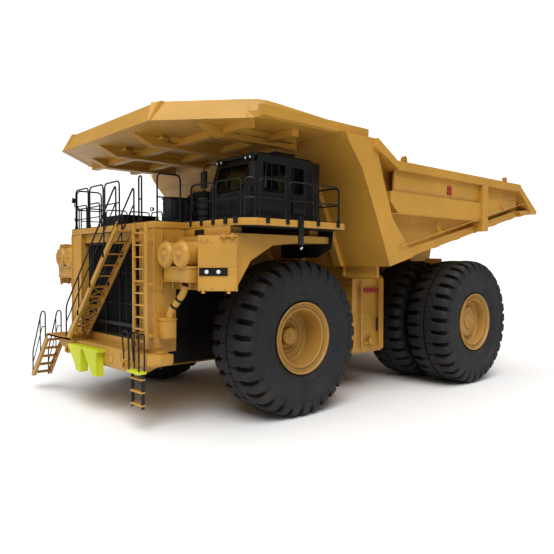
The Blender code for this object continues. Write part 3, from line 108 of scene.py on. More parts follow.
class Shape:
    """A mesh in the making: closed shells that are added one by one."""

    def __init__(self) -> None:
        """Starts with an empty mesh."""
        self.mesh = bmesh.new()

    def loft(self, rings: Sequence[Sequence[Point]], ring_closed: bool = False) -> "Shape":
        """Skins rings of equal length, capping both ends, or joining the last ring to the first.

        Args:
            rings: Rings of points, equal in number.
            ring_closed: Whether the last ring joins the first.

        Returns:
            This shape.
        """
        rows = [[self.mesh.verts.new(point) for point in ring] for ring in rings]
        faces = []
        pairs = list(zip(rows, rows[1:] + rows[:1])) if ring_closed else list(zip(rows, rows[1:]))
        for low, high in pairs:
            for i, first in enumerate(low):
                j = (i + 1) % len(low)
                faces.append(self.mesh.faces.new((first, low[j], high[j], high[i])))
        if not ring_closed:
            faces += [self.mesh.faces.new(rows[0][::-1]), self.mesh.faces.new(rows[-1])]
        bmesh.ops.recalc_face_normals(self.mesh, faces=faces)
        return self

    def prism(self, along: Along, outline: Sequence[Point], start: float, end: float) -> "Shape":
        """Pushes a flat outline along an axis. The outline's numbers follow X, Y, Z in turn from that axis.

        Args:
            along: The axis to follow.
            outline: Its corners, two numbers each.
            start: Where it starts.
            end: Where it ends.

        Returns:
            This shape.
        """
        rings = []
        for at in (start, end):
            ring = []
            for first, second in outline:
                point = [0.0, 0.0, 0.0]
                point[along.value] = at
                point[(along.value + 1) % 3] = first
                point[(along.value + 2) % 3] = second
                ring.append(point)
            rings.append(ring)
        return self.loft(rings)

    def box(self, low: Point, high: Point) -> "Shape":
        """A box between two corners."""
        outline = [(low[0], low[1]), (high[0], low[1]), (high[0], high[1]), (low[0], high[1])]
        return self.prism(Along.Z, outline, low[2], high[2])

    def bar(
        self, start: Point, end: Point, radius: float, sides: int = 12, end_radius: float | None = None
    ) -> "Shape":
        """A round bar, or a cone where its end has another radius.

        Args:
            start: Where it starts.
            end: Where it ends.
            radius: Its radius.
            sides: How many sides it has round.
            end_radius: The far end's radius, if it differs.

        Returns:
            This shape.
        """
        along = Vector(end) - Vector(start)
        far = radius if end_radius is None else end_radius
        return self.loft([circle(start, along, radius, sides), circle(end, along, far, sides)])

    def tube(self, points: Sequence[Point], radius: float, sides: int = 8) -> "Shape":
        """A round tube through points, mitred where it turns.

        Args:
            points: The points that it runs through.
            radius: Its radius.
            sides: How many sides it has round.

        Returns:
            This shape.
        """
        path = [Vector(p) for p in points]
        legs = [(b - a).normalized() for a, b in zip(path, path[1:])]
        across = legs[0].orthogonal().normalized()
        rings = []
        for i, at in enumerate(path):
            before, after = legs[max(i - 1, 0)], legs[min(i, len(legs) - 1)]
            square = (before + after).normalized()
            if i:
                across = (before.rotation_difference(after)) @ across
            start = (across - after * across.dot(after)).normalized()
            other = after.cross(start)
            ring = []
            for k in range(sides):
                angle = math.tau * k / sides
                spoke = radius * (math.cos(angle) * start + math.sin(angle) * other)
                slide = -spoke.dot(square) / max(after.dot(square), 0.35)
                ring.append(at + spoke + after * slide)
            rings.append(ring)
        return self.loft(rings)

    def turned(
        self, profile: Sequence[tuple[float, float]], centre: Point, along: Point, steps: int,
        hollow: bool = False
    ) -> "Shape":
        """Turns a profile of (place along, radius) about an axis, as a ring where it is hollow.

        Args:
            profile: Pairs of place along the axis and radius.
            centre: Its middle.
            along: The axis's direction.
            steps: How many steps make a turn.
            hollow: Whether the profile closes on itself.

        Returns:
            This shape.
        """
        axis = Vector(along).normalized()
        rings = [circle(Vector(centre) + axis * at, axis, radius, steps) for at, radius in profile]
        return self.loft(rings, ring_closed=hollow)

    def take(self, other: "Shape", matrix: Matrix | None = None) -> "Shape":
        """Adds a copy of another shape, moved by a matrix.

        Args:
            other: The shape to take in.
            matrix: Where to put it.

        Returns:
            This shape.
        """
        mesh = bpy.data.meshes.new("taken")
        other.mesh.to_mesh(mesh)
        if matrix is not None:
            mesh.transform(matrix)
            if matrix.determinant() < 0:
                mesh.flip_normals()
        self.mesh.from_mesh(mesh)
        bpy.data.meshes.remove(mesh)
        return self

    def mirrored(self, side: Side) -> "Shape":
        """This shape on the left, or its mirror image on the right.

        Args:
            side: The side that it is for; the left one leaves it as it is.

        Returns:
            The shape on that side.
        """
        if side is Side.RIGHT:
            bmesh.ops.scale(self.mesh, vec=(-1, 1, 1), verts=self.mesh.verts)
            bmesh.ops.reverse_faces(self.mesh, faces=self.mesh.faces)
        return self

    def both_sides(self) -> "Shape":
        """This shape and its mirror image across the middle."""
        return self.take(self, Matrix.Diagonal((-1, 1, 1, 1)))

    def to_mesh(self, name: str) -> bpy.types.Mesh:
        """The finished mesh data.

        Args:
            name: Its name.

        Returns:
            The finished mesh.
        """
        mesh = bpy.data.meshes.new(name)
        self.mesh.to_mesh(mesh)
        self.mesh.free()
        return mesh


def linked(name: str, mesh: bpy.types.Mesh) -> bpy.types.Object:
    """A new object in the scene.

    Args:
        name: Its name.
        mesh: Its mesh.

    Returns:
        The new object.
    """
    obj = bpy.data.objects.new(name, mesh)
    bpy.context.scene.collection.objects.link(obj)
    return obj


def settled(obj: bpy.types.Object) -> None:
    """Turns an object's modifiers into plain mesh.

    Args:
        obj: The object.
    """
    graph = bpy.context.evaluated_depsgraph_get()
    graph.update()
    mesh = bpy.data.meshes.new_from_object(obj.evaluated_get(graph))
    obj.modifiers.clear()
    old, obj.data = obj.data, mesh
    bpy.data.meshes.remove(old)
    mesh.name = obj.name


class Repeater:
    """Copies of one shape, round an axis or in a row, made by Geometry Nodes."""

    def __init__(self) -> None:
        """Builds the two trees once."""
        self.ring = self._tree(
            "copies_round_an_axis", (("Count", "NodeSocketInt"), ("Material", "NodeSocketMaterial"))
        )
        self.row = self._tree(
            "copies_in_a_row",
            (
                ("Count", "NodeSocketInt"), ("Step", "NodeSocketVector"),
                ("Material", "NodeSocketMaterial")
            ),
        )

    @staticmethod
    def _tree(name: str, inputs: Iterable[tuple[str, str]]) -> bpy.types.NodeTree:
        """One tree: points, an instance on each, realised and given its material.

        Args:
            name: Its name.
            inputs: Its inputs.

        Returns:
            The tree.
        """
        tree = bpy.data.node_groups.new(name, "GeometryNodeTree")
        tree.interface.new_socket("Geometry", in_out="INPUT", socket_type="NodeSocketGeometry")
        for label, kind in inputs:
            tree.interface.new_socket(label, in_out="INPUT", socket_type=kind)
        tree.interface.new_socket("Geometry", in_out="OUTPUT", socket_type="NodeSocketGeometry")
        new, link = tree.nodes.new, tree.links.new
        source, sink = new("NodeGroupInput"), new("NodeGroupOutput")
        line, on_points = new("GeometryNodeMeshLine"), new("GeometryNodeInstanceOnPoints")
        realise, dress = new("GeometryNodeRealizeInstances"), new("GeometryNodeSetMaterial")
        link(source.outputs["Count"], line.inputs["Count"])
        if "Step" in source.outputs:
            link(source.outputs["Step"], line.inputs["Offset"])
        else:
            line.inputs["Offset"].default_value = (0, 0, 0)
            index, share = new("GeometryNodeInputIndex"), new("ShaderNodeMath")
            turn, spin = new("ShaderNodeMath"), new("ShaderNodeCombineXYZ")
            share.operation, turn.operation = "DIVIDE", "MULTIPLY"
            turn.inputs[1].default_value = math.tau
            link(index.outputs[0], share.inputs[0])
            link(source.outputs["Count"], share.inputs[1])
            link(share.outputs[0], turn.inputs[0])
            link(turn.outputs[0], spin.inputs["X"])
            link(spin.outputs[0], on_points.inputs["Rotation"])
        link(line.outputs[0], on_points.inputs["Points"])
        link(source.outputs["Geometry"], on_points.inputs["Instance"])
        link(on_points.outputs[0], realise.inputs[0])
        link(realise.outputs[0], dress.inputs["Geometry"])
        link(source.outputs["Material"], dress.inputs["Material"])
        link(dress.outputs[0], sink.inputs[0])
        return tree

    def _run(self, tree: bpy.types.NodeTree, shape: Shape, values: dict[str, object]) -> Shape:
        """Runs a tree on a shape, with its inputs by name, and returns the copies.

        Args:
            tree: The node tree to run.
            shape: The shape to work on.
            values: The values of its inputs.

        Returns:
            The repeated shape, realised.
        """
        obj = linked("repeated", shape.to_mesh("repeated"))
        modifier = obj.modifiers.new("copies", "NODES")
        modifier.node_group = tree
        for item in tree.interface.items_tree:
            if item.in_out == "INPUT" and item.name in values:
                modifier[item.identifier] = values[item.name]
        settled(obj)
        copies = Shape()
        copies.mesh.from_mesh(obj.data)
        for face in copies.mesh.faces:
            face.material_index = 0
        mesh = obj.data
        bpy.data.objects.remove(obj)
        bpy.data.meshes.remove(mesh)
        return copies

    def around_x(self, shape: Shape, count: int, finish: bpy.types.Material) -> Shape:
        """Copies of a shape turned about the X axis through the origin."""
        return self._run(self.ring, shape, {"Count": count, "Material": finish})

    def in_row(self, shape: Shape, count: int, step: Point, finish: bpy.types.Material) -> Shape:
        """Copies of a shape, each a step from the one before."""
        return self._run(
            self.row, shape, {"Count": count, "Step": tuple(map(float, step)), "Material": finish}
        )


def stud(at: Point, along: Point, radius: float = 0.02, height: float = 0.014) -> Shape:
    """A hexagon bolt head with a washer under it.

    Args:
        at: The middle of its foot.
        along: The way it stands out.
        radius: Its radius.
        height: Its height.

    Returns:
        The shape.
    """
    axis = Vector(along).normalized()
    shape = Shape().bar(at, Vector(at) + axis * height * 0.3, radius * 1.45, 12)
    return shape.bar(at, Vector(at) + axis * height, radius, 6)


class NodeMaker:
    """Short ways to add and join nodes in one tree."""

    def __init__(self, tree: bpy.types.NodeTree) -> None:
        """Keeps the tree that nodes go into."""
        self.tree = tree

    def add(
        self, kind: str, links: dict[str | int, bpy.types.NodeSocket] | None = None,
        values: dict[str | int, object] | None = None, **fields: object
    ) -> bpy.types.Node:
        """A new node with its fields, socket values and incoming links set.

        Args:
            kind: The node's type.
            links: What feeds its inputs.
            values: The values of its inputs.

        Returns:
            The node.
        """
        node = self.tree.nodes.new(kind)
        for key, value in fields.items():
            setattr(node, key, value)
        for key, value in (values or {}).items():
            node.inputs[key].default_value = value
        for key, socket in (links or {}).items():
            self.tree.links.new(socket, node.inputs[key])
        return node

    def maths(self, how: str, first: object, second: object) -> bpy.types.NodeSocket:
        """The result of a clamped sum on two sockets or numbers.

        Args:
            how: The operation.
            first: The first value.
            second: The second value.

        Returns:
            The result's socket.
        """
        node = self.add("ShaderNodeMath", operation=how, use_clamp=True)
        for i, term in enumerate((first, second)):
            if isinstance(term, bpy.types.NodeSocket):
                self.tree.links.new(term, node.inputs[i])
            else:
                node.inputs[i].default_value = term
        return node.outputs[0]

    def stretch(
        self, value: bpy.types.NodeSocket, low: float, high: float, to_low: float = 0.0,
        to_high: float = 1.0
    ) -> bpy.types.NodeSocket:
        """A value moved from one range to another and kept inside it."""
        node = self.add(
            "ShaderNodeMapRange", {"Value": value},
            {"From Min": low, "From Max": high, "To Min": to_low, "To Max": to_high}
        )
        return node.outputs[0]

    def blend(self, share: object, first: object, second: object) -> bpy.types.NodeSocket:
        """One colour shading into another.

        Args:
            share: How much of the second shows.
            first: The first value.
            second: The second value.

        Returns:
            The blended colour's socket.
        """
        node = self.add("ShaderNodeMix", data_type="RGBA")
        for key, term in ((0, share), (6, first), (7, second)):
            if isinstance(term, bpy.types.NodeSocket):
                self.tree.links.new(term, node.inputs[key])
            else:
                node.inputs[key].default_value = term if key == 0 else (*term, 1.0)
        return node.outputs[2]

    def noise(
        self, scale: float, detail: float = 4.0, where: bpy.types.NodeSocket | None = None
    ) -> bpy.types.NodeSocket:
        """A noise value on the object's own coordinates."""
        coords = where or self.add("ShaderNodeTexCoord").outputs["Object"]
        return self.add(
            "ShaderNodeTexNoise", {"Vector": coords}, {"Scale": scale, "Detail": detail}
        ).outputs["Fac"]


def new_group(
    name: str, inputs: Iterable[tuple[str, float]], outputs: Iterable[str]
) -> tuple[bpy.types.NodeTree, NodeMaker, bpy.types.Node, bpy.types.Node]:
    """A shader node group with named number inputs and outputs.

    Returns:
        The group, a maker for it, its input node and its output node.
    """
    tree = bpy.data.node_groups.new(name, "ShaderNodeTree")
    for label, start in inputs:
        tree.interface.new_socket(
            label, in_out="INPUT", socket_type="NodeSocketFloat"
        ).default_value = start
    for label in outputs:
        tree.interface.new_socket(label, in_out="OUTPUT", socket_type="NodeSocketFloat")
    maker = NodeMaker(tree)
    return tree, maker, maker.add("NodeGroupInput"), maker.add("NodeGroupOutput")


def edge_wear_group() -> bpy.types.NodeTree:
    """Rubbed edges: where the rounded normal leaves the flat one, broken up by noise.

    Returns:
        The group.
    """
    tree, make, source, sink = new_group("edge_wear", (("Width", 0.02), ("Amount", 0.5)), ("Mask",))
    rounded = make.add("ShaderNodeBevel", {"Radius": source.outputs["Width"]}, samples=4)
    flat = make.add("ShaderNodeNewGeometry")
    dot = make.add(
        "ShaderNodeVectorMath", {0: rounded.outputs[0], 1: flat.outputs["Normal"]},
        operation="DOT_PRODUCT"
    )
    edge = make.stretch(dot.outputs["Value"], 0.985, 0.80)
    broken = make.stretch(make.noise(5.0, 6.0), 0.42, 0.66)
    mask = make.maths("MULTIPLY", make.maths("MULTIPLY", edge, broken), source.outputs["Amount"])
    tree.links.new(mask, sink.inputs["Mask"])
    return tree


def dust_group() -> bpy.types.NodeTree:
    """Dust that lies on level faces and clings low down, in patches.

    Returns:
        The group.
    """
    tree, make, source, sink = new_group("settled_dust", (("Amount", 0.3), ("Low", 2.5)), ("Mask",))
    up = make.add("ShaderNodeSeparateXYZ", {0: make.add("ShaderNodeNewGeometry").outputs["Normal"]})
    level = make.stretch(up.outputs["Z"], 0.35, 1.0, 0.0, 0.75)
    height = make.add("ShaderNodeSeparateXYZ", {0: make.add("ShaderNodeTexCoord").outputs["Object"]})
    low = make.add(
        "ShaderNodeMapRange", {"Value": height.outputs["Z"], "From Min": source.outputs["Low"]},
        {"From Max": 0.0, "To Min": 0.0, "To Max": 0.6}
    )
    patches = make.stretch(make.noise(1.7, 6.0), 0.32, 0.72)
    total = make.maths("ADD", level, low.outputs[0])
    mask = make.maths("MULTIPLY", make.maths("MULTIPLY", total, patches), source.outputs["Amount"])
    tree.links.new(mask, sink.inputs["Mask"])
    return tree


def grain_group() -> bpy.types.NodeTree:
    """Fine orange-peel height and slow cloudy change of tone and gloss.

    Returns:
        The group.
    """
    tree, make, source, sink = new_group(
        "paint_grain", (("Fine", 60.0), ("Broad", 0.6)), ("Height", "Tone", "Gloss")
    )
    coords = make.add("ShaderNodeTexCoord").outputs["Object"]
    fine = make.add(
        "ShaderNodeTexNoise", {"Vector": coords, "Scale": source.outputs["Fine"]}, {"Detail": 2.0}
    )
    broad = make.add(
        "ShaderNodeTexNoise", {"Vector": coords, "Scale": source.outputs["Broad"]}, {"Detail": 5.0}
    )
    tree.links.new(fine.outputs["Fac"], sink.inputs["Height"])
    tree.links.new(make.stretch(broad.outputs["Fac"], 0.35, 0.68), sink.inputs["Tone"])
    gloss = make.noise(3.0, 5.0)
    tree.links.new(make.stretch(gloss, 0.3, 0.7), sink.inputs["Gloss"])
    return tree


@dataclass(frozen=True)
class Finish:
    """A painted, bare or moulded finish with wear, dust and grain."""

    name: str
    slot: str
    colour: tuple[float, float, float]
    roughness: tuple[float, float] = (0.38, 0.5)
    metallic: float = 0.0
    coat: float = 0.0
    shade: float = 0.86
    worn: tuple[float, float, float] = (0.30, 0.24, 0.16)
    wear: float = 0.35
    wear_width: float = 0.018
    dust: float = 0.22
    dust_low: float = 2.5
    fine: float = 60.0
    bump: float = 0.04
    round_edges: float = 0.012

    def material(self, groups: dict[str, bpy.types.NodeTree]) -> bpy.types.Material:
        """Builds the node tree of this finish.

        Args:
            groups: The shared node groups, by name.

        Returns:
            The material.
        """
        material = bpy.data.materials.new(self.name)
        material.use_nodes = True
        material.diffuse_color = (*self.colour, 1.0)
        make = NodeMaker(material.node_tree)
        surface = material.node_tree.nodes["Principled BSDF"]
        link = material.node_tree.links.new
        grain = make.add(
            "ShaderNodeGroup", node_tree=groups["grain"], values={"Fine": self.fine, "Broad": 0.7}
        )
        wear = make.add(
            "ShaderNodeGroup", node_tree=groups["wear"],
            values={"Width": self.wear_width, "Amount": self.wear}
        )
        dust = make.add(
            "ShaderNodeGroup", node_tree=groups["dust"],
            values={"Amount": self.dust, "Low": self.dust_low}
        )
        darker = tuple(channel * self.shade for channel in self.colour)
        tone = make.blend(grain.outputs["Tone"], darker, self.colour)
        rubbed = make.blend(wear.outputs["Mask"], tone, self.worn)
        dusty = make.blend(dust.outputs["Mask"], rubbed, DUST_COLOUR)
        link(dusty, surface.inputs["Base Color"])
        gloss = make.stretch(grain.outputs["Gloss"], 0.0, 1.0, *self.roughness)
        link(
            make.maths("ADD", gloss, make.maths("MULTIPLY", dust.outputs["Mask"], 0.4)),
            surface.inputs["Roughness"]
        )
        surface.inputs["Metallic"].default_value = self.metallic
        surface.inputs["Coat Weight"].default_value = self.coat
        surface.inputs["Coat Roughness"].default_value = 0.12
        bump = make.add(
            "ShaderNodeBump", {"Height": grain.outputs["Height"]},
            {"Strength": self.bump, "Distance": 0.01}
        )
        if self.round_edges:
            rounded = make.add("ShaderNodeBevel", samples=4, values={"Radius": self.round_edges})
            link(rounded.outputs[0], bump.inputs["Normal"])
        link(bump.outputs[0], surface.inputs["Normal"])
        return material


DUST_COLOUR = (0.42, 0.33, 0.22)


@dataclass(frozen=True)
class ClearGlass:
    """Tinted clear glass with a faint film."""

    name: str
    slot: str
    colour: tuple[float, float, float]

    def material(self, groups: dict[str, bpy.types.NodeTree]) -> bpy.types.Material:
        """Builds the node tree of this glass.

        Args:
            groups: The shared node groups, by name.

        Returns:
            The material.
        """
        material = bpy.data.materials.new(self.name)
        material.use_nodes = True
        make = NodeMaker(material.node_tree)
        surface = material.node_tree.nodes["Principled BSDF"]
        film = make.add("ShaderNodeGroup", node_tree=groups["grain"], values={"Fine": 9.0, "Broad": 1.5})
        tint = make.blend(film.outputs["Tone"], tuple(c * 0.9 for c in self.colour), self.colour)
        material.node_tree.links.new(tint, surface.inputs["Base Color"])
        rough = make.stretch(film.outputs["Gloss"], 0.0, 1.0, 0.02, 0.10)
        material.node_tree.links.new(rough, surface.inputs["Roughness"])
        surface.inputs["Transmission Weight"].default_value = 1.0
        surface.inputs["IOR"].default_value = 1.2
        return material


YELLOW = (0.55, 0.302, 0.055)
FINISHES = {
    "yellow": Finish("machine_yellow", "construction_yellow", YELLOW, coat=0.08),
    "bed": Finish(
        "bed_yellow", "construction_yellow", (0.57, 0.312, 0.056), dust=0.30, wear=0.5, bump=0.06
    ),
    "wheel": Finish(
        "wheel_yellow", "construction_yellow", (0.46, 0.262, 0.062), dust=0.25, roughness=(0.42, 0.55)
    ),
    "black": Finish(
        "satin_black", "black_paint", (0.006, 0.006, 0.0065), (0.35, 0.48), worn=(0.10, 0.09, 0.08),
        dust=0.08
    ),
    "deck": Finish(
        "deck_grit", "black_paint", (0.010, 0.010, 0.011), (0.62, 0.8), dust=0.2, fine=140.0, bump=0.35,
        worn=(0.12, 0.11, 0.1)
    ),
    "core": Finish(
        "radiator_black", "black_paint", (0.008, 0.008, 0.009), (0.45, 0.6), dust=0.12,
        worn=(0.06, 0.055, 0.05)
    ),
    "cab": Finish(
        "cab_charcoal", "black_paint", (0.0075, 0.0075, 0.0085), (0.36, 0.50), coat=0.12,
        worn=(0.08, 0.075, 0.07), dust=0.045
    ),
    "rubber": Finish(
        "tyre_rubber", "tyre_rubber", (0.022, 0.022, 0.025), (0.62, 0.78), shade=0.8,
        worn=(0.07, 0.065, 0.06), wear=0.35, dust=0.16, dust_low=1.6, fine=35.0, bump=0.22,
        round_edges=0.02
    ),
    "steel": Finish(
        "polished_rod", "polished_steel", (0.62, 0.62, 0.63), (0.12, 0.2), metallic=1.0, wear=0.0,
        dust=0.02, bump=0.01, round_edges=0.0
    ),
    # Floors of the tread's grooves: the tyre rubber painted about four times darker, as painted shade
    # between the tread blocks.
    "groove_shade": Finish(
        "groove_floor_painted_shade", "tyre_rubber", (0.0055, 0.0055, 0.006), (0.82, 0.92), wear=0.0, dust=0.05,
        fine=35.0, bump=0.1
    ),
    "lime": Finish(
        "lime_yellow", "lime_paint", (0.62, 0.68, 0.02), (0.4, 0.52), dust=0.08, worn=(0.35, 0.33, 0.12)
    ),
    "grey": Finish(
        "cabinet_grey", "grey_paint", (0.028, 0.028, 0.030), (0.4, 0.52), dust=0.12,
        worn=(0.2, 0.19, 0.18)
    ),
    "lamp": Finish(
        "lamp_white", "grey_paint", (0.80, 0.80, 0.77), (0.12, 0.22), coat=0.6, dust=0.03, wear=0.0,
        bump=0.01
    ),
    "red": Finish(
        "warning_red", "lime_paint", (0.38, 0.02, 0.02), (0.3, 0.4), coat=0.4, dust=0.06, wear=0.1
    ),
    "cloth": Finish(
        "seat_weave", "seat_cloth", (0.035, 0.036, 0.04), (0.8, 0.92), wear=0.1, dust=0.03, fine=420.0,
        bump=0.5, round_edges=0.0
    ),
    "glass": ClearGlass("tinted_pane", "cab_glass", (0.50, 0.58, 0.50)),
}


class Workshop:
    """Holds the finishes and repeaters, and turns shapes into finished pieces."""

    def __init__(self) -> None:
        """Builds the shared groups and every finish once."""
        groups = {"wear": edge_wear_group(), "dust": dust_group(), "grain": grain_group()}
        self.finishes = {key: finish.material(groups) for key, finish in FINISHES.items()}
        self.repeater = Repeater()
        self.count = 0

    def place(
        self, name: str, shape: Shape, finish: str, body: str, bevel: float = 0.0,
        replaces: Sequence[str] = (), sharp: float = 32.0
    ) -> bpy.types.Object:
        """Makes a shape a finished piece that rides on a body.

        Args:
            name: The piece's name.
            shape: Its mesh, in place.
            finish: Its finish, a key of FINISHES.
            body: The body that it moves with.
            bevel: The width of its rounded edges, or 0 for none.
            replaces: The solid nodes that it stands for.
            sharp: The angle past which an edge stays sharp, in degrees.

        Returns:
            The piece.
        """
        obj = linked(name, shape.to_mesh(name))
        if bevel:
            edges = obj.modifiers.new("rounded", "BEVEL")
            edges.width, edges.segments = bevel, 2
            edges.limit_method, edges.angle_limit = "ANGLE", math.radians(sharp)
            settled(obj)
        obj.data.materials.clear()
        obj.data.materials.append(self.finishes[finish])
        obj.data.polygons.foreach_set("material_index", [0] * len(obj.data.polygons))
        obj.data.shade_smooth()
        obj.data.set_sharp_from_angle(angle=math.radians(sharp))
        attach(obj, body)
        if replaces:
            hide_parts(*replaces)
        self.count += len(obj.data.polygons)
        LOG.info("%s: %d faces on %s", name, len(obj.data.polygons), body)
        return obj

    def dress(self, finish: str, nodes: Iterable[str]) -> None:
        """Gives carried-over solid nodes a finish.

        Args:
            finish: A key of FINISHES.
            nodes: The solid nodes to dress.
        """
        for node in nodes:
            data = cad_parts[node].data
            data.materials.clear()
            data.materials.append(self.finishes[finish])


@dataclass
class Studio:
    """The pale floor, the soft lights and the camera."""

    floor_half: float = 70.0
    sky: float = 0.23

    def floor(self) -> None:
        """A wide pale floor that catches the shadow."""
        half = self.floor_half
        mesh = bpy.data.meshes.new("studio_floor")
        mesh.from_pydata(
            [(-half, -half, 0), (half, -half, 0), (half, half, 0), (-half, half, 0)], [], [(0, 1, 2, 3)]
        )
        ground = linked("studio_floor", mesh)
        material = bpy.data.materials.new("pale_floor")
        material.use_nodes = True
        surface = material.node_tree.nodes["Principled BSDF"]
        surface.inputs["Base Color"].default_value = (0.95, 0.95, 0.95, 1)
        surface.inputs["Roughness"].default_value = 0.9
        surface.inputs["Specular IOR Level"].default_value = 0.0
        mesh.materials.append(material)

    def world(self) -> None:
        """Even light from all round, with a white backdrop behind everything."""
        world = bpy.data.worlds.new("studio")
        world.use_nodes = True
        tree = world.node_tree
        light = tree.nodes["Background"]
        light.inputs["Color"].default_value = (1.0, 0.99, 0.97, 1)
        light.inputs["Strength"].default_value = self.sky
        seen, mix, rays = (
            tree.nodes.new(kind)
            for kind in ("ShaderNodeBackground", "ShaderNodeMixShader", "ShaderNodeLightPath")
        )
        seen.inputs["Color"].default_value = (1, 1, 1, 1)
        tree.links.new(rays.outputs["Is Camera Ray"], mix.inputs[0])
        tree.links.new(light.outputs[0], mix.inputs[1])
        tree.links.new(seen.outputs[0], mix.inputs[2])
        tree.links.new(mix.outputs[0], tree.nodes["World Output"].inputs["Surface"])
        bpy.context.scene.world = world
        bpy.context.scene.view_settings.view_transform = "Standard"
        bpy.context.scene.view_settings.look = "Medium High Contrast"

    def sun(self, name: str, towards: Point, strength: float, spread: float) -> None:
        """One very soft far light that stands in a direction from the truck.

        Args:
            name: Its name.
            towards: Where its light comes from.
            strength: How strong it is.
            spread: Its width in the sky, in degrees.
        """
        data = bpy.data.lights.new(name, "SUN")
        data.energy, data.angle = strength, math.radians(spread)
        lamp = bpy.data.objects.new(name, data)
        lamp.rotation_euler = (-Vector(towards)).to_track_quat("-Z", "Y").to_euler()
        bpy.context.scene.collection.objects.link(lamp)

    def camera(self) -> None:
        """The camera at the left front, low and far."""
        data = bpy.data.cameras.new("camera")
        data.lens, data.sensor_width, data.clip_end = 37.85, 36.0, 400.0
        camera = bpy.data.objects.new("camera", data)
        camera.location = (14.453, -14.012, 3.879)
        camera.rotation_euler = (math.radians(88.824), 0, math.radians(48.03))
        bpy.context.scene.collection.objects.link(camera)
        bpy.context.scene.camera = camera

    def build(self) -> None:
        """Sets the whole studio up."""
        self.floor()
        self.world()
        self.sun("key", (0.55, -0.45, 0.85), 1.75, 40)
        self.sun("front_fill", (-0.35, -0.8, 0.35), 0.26, 60)
        self.sun("top", (0.05, -0.1, 1.0), 0.95, 50)
        self.camera()


@dataclass
class Tyre:
    """A wide haul tyre: a round casing with two rows of tread blocks that wrap the shoulders."""

    radius: float = 2.013
    blocks: int = 32
    steps: int = 96
    block_share: float = 0.975
    shoulder_share: float = 0.64
    skew: float = 0.12
    chamfer: float = 0.018

    def casing(self) -> Shape:
        """The tread base, sidewalls with their ribs, and beads, about X at the origin.

        Returns:
            The shape.
        """
        low = self.radius - 2.013
        half = [
            (0.0, 1.865), (0.45, 1.860), (0.60, 1.840), (0.68, 1.790), (0.715, 1.730), (0.728, 1.640),
            (0.737, 1.600), (0.738, 1.585), (0.732, 1.570), (0.737, 1.440), (0.730, 1.340), (0.712, 1.220),
            (0.690, 1.140), (0.700, 1.120), (0.692, 1.095), (0.660, 1.050), (0.640, 1.000), (0.600, 0.950),
            (0.575, 0.925), (0.560, 0.880),
        ]
        half = [(x, r + low) for x, r in half]
        profile = [(-x, r) for x, r in half[::-1]] + half[1:]
        return Shape().turned(profile, (0, 0, 0), (1, 0, 0), self.steps, hollow=True)

    def block(self) -> Shape:
        """One tread block from the middle over the shoulder, centred on the top of the tyre.

        Returns:
            The shape.
        """
        sections = [
            (0.025, 2.010, 1.845, 0.0), (0.23, 2.013, 1.845, 0.0),
            (0.27, 2.013, 1.845, 1.0), (0.52, 1.992, 1.830, 1.0),
            (0.63, 1.948, 1.795, 1.0), (0.695, 1.878, 1.745, 1.0),
            (0.728, 1.780, 1.690, 0.85), (0.739, 1.665, 1.630, 0.45),
        ]
        pitch = math.tau / self.blocks
        rings = []
        for x, top, base, shoulder in sections:
            share = self.block_share + (self.shoulder_share - self.block_share) * shoulder
            lean = self.skew * pitch * min(x / 0.5, 1.0)
            half = share * pitch / 2
            inset = self.chamfer / self.radius
            ring = []
            for angle, r in (
                (-half - 0.004, base), (-half, top - self.chamfer), (-half + inset, top),
                (half - inset, top), (half, top - self.chamfer), (half + 0.004, base),
            ):
                turn = angle + lean
                ring.append((x, -r * math.sin(turn), r * math.cos(turn)))
            rings.append(ring)
        return Shape().loft(rings)

    def build(self, shop: Workshop, name: str, body: str, centre: Point) -> None:
        """Places one tyre on its body.

        Args:
            shop: What finishes and places pieces.
            name: Its name.
            body: The body that it moves with.
            centre: Its middle.
        """
        rubber = shop.finishes["rubber"]
        tyre = self.casing()
        tyre.take(shop.repeater.around_x(self.block(), self.blocks, rubber))
        mirror = Shape().take(self.block(), Matrix.Diagonal((-1, 1, 1, 1)))
        shift = Matrix.Rotation(math.pi / self.blocks, 4, "X")
        tyre.take(shop.repeater.around_x(mirror, self.blocks, rubber), shift)
        placed = Shape().take(tyre, Matrix.Translation(centre))
        low = self.radius - 2.013
        # The floors of the tread's grooves: a ring under the blocks in the darker finish, painted shade
        # between them.
        band = [
            (-0.685, 1.792), (-0.60, 1.846), (-0.45, 1.866), (0.0, 1.871), (0.45, 1.866), (0.60, 1.846),
            (0.685, 1.792)
        ]
        inner = [(x, r - 0.02) for x, r in band[::-1]]
        groove_shade = Shape().turned(
            [(x, r + low) for x, r in band + inner], centre, (1, 0, 0), self.steps, hollow=True
        )
        shop.place(f"{name}_grooves", groove_shade, "groove_shade", body)
        shop.place(f"{name}_treaded", placed, "rubber", body, replaces=(name,), sharp=40)


FLANGE = [
    (0.600, 0.850), (0.600, 0.915), (0.612, 0.925), (0.648, 0.925),
    (0.659, 0.915), (0.655, 0.897), (0.628, 0.878),
    (0.598, 0.862), (0.590, 0.842), (0.604, 0.830), (0.606, 0.818),
    (0.572, 0.800), (0.560, 0.780), (0.590, 0.762),
    (0.596, 0.745), (0.580, 0.725), (0.52, 0.708),
]


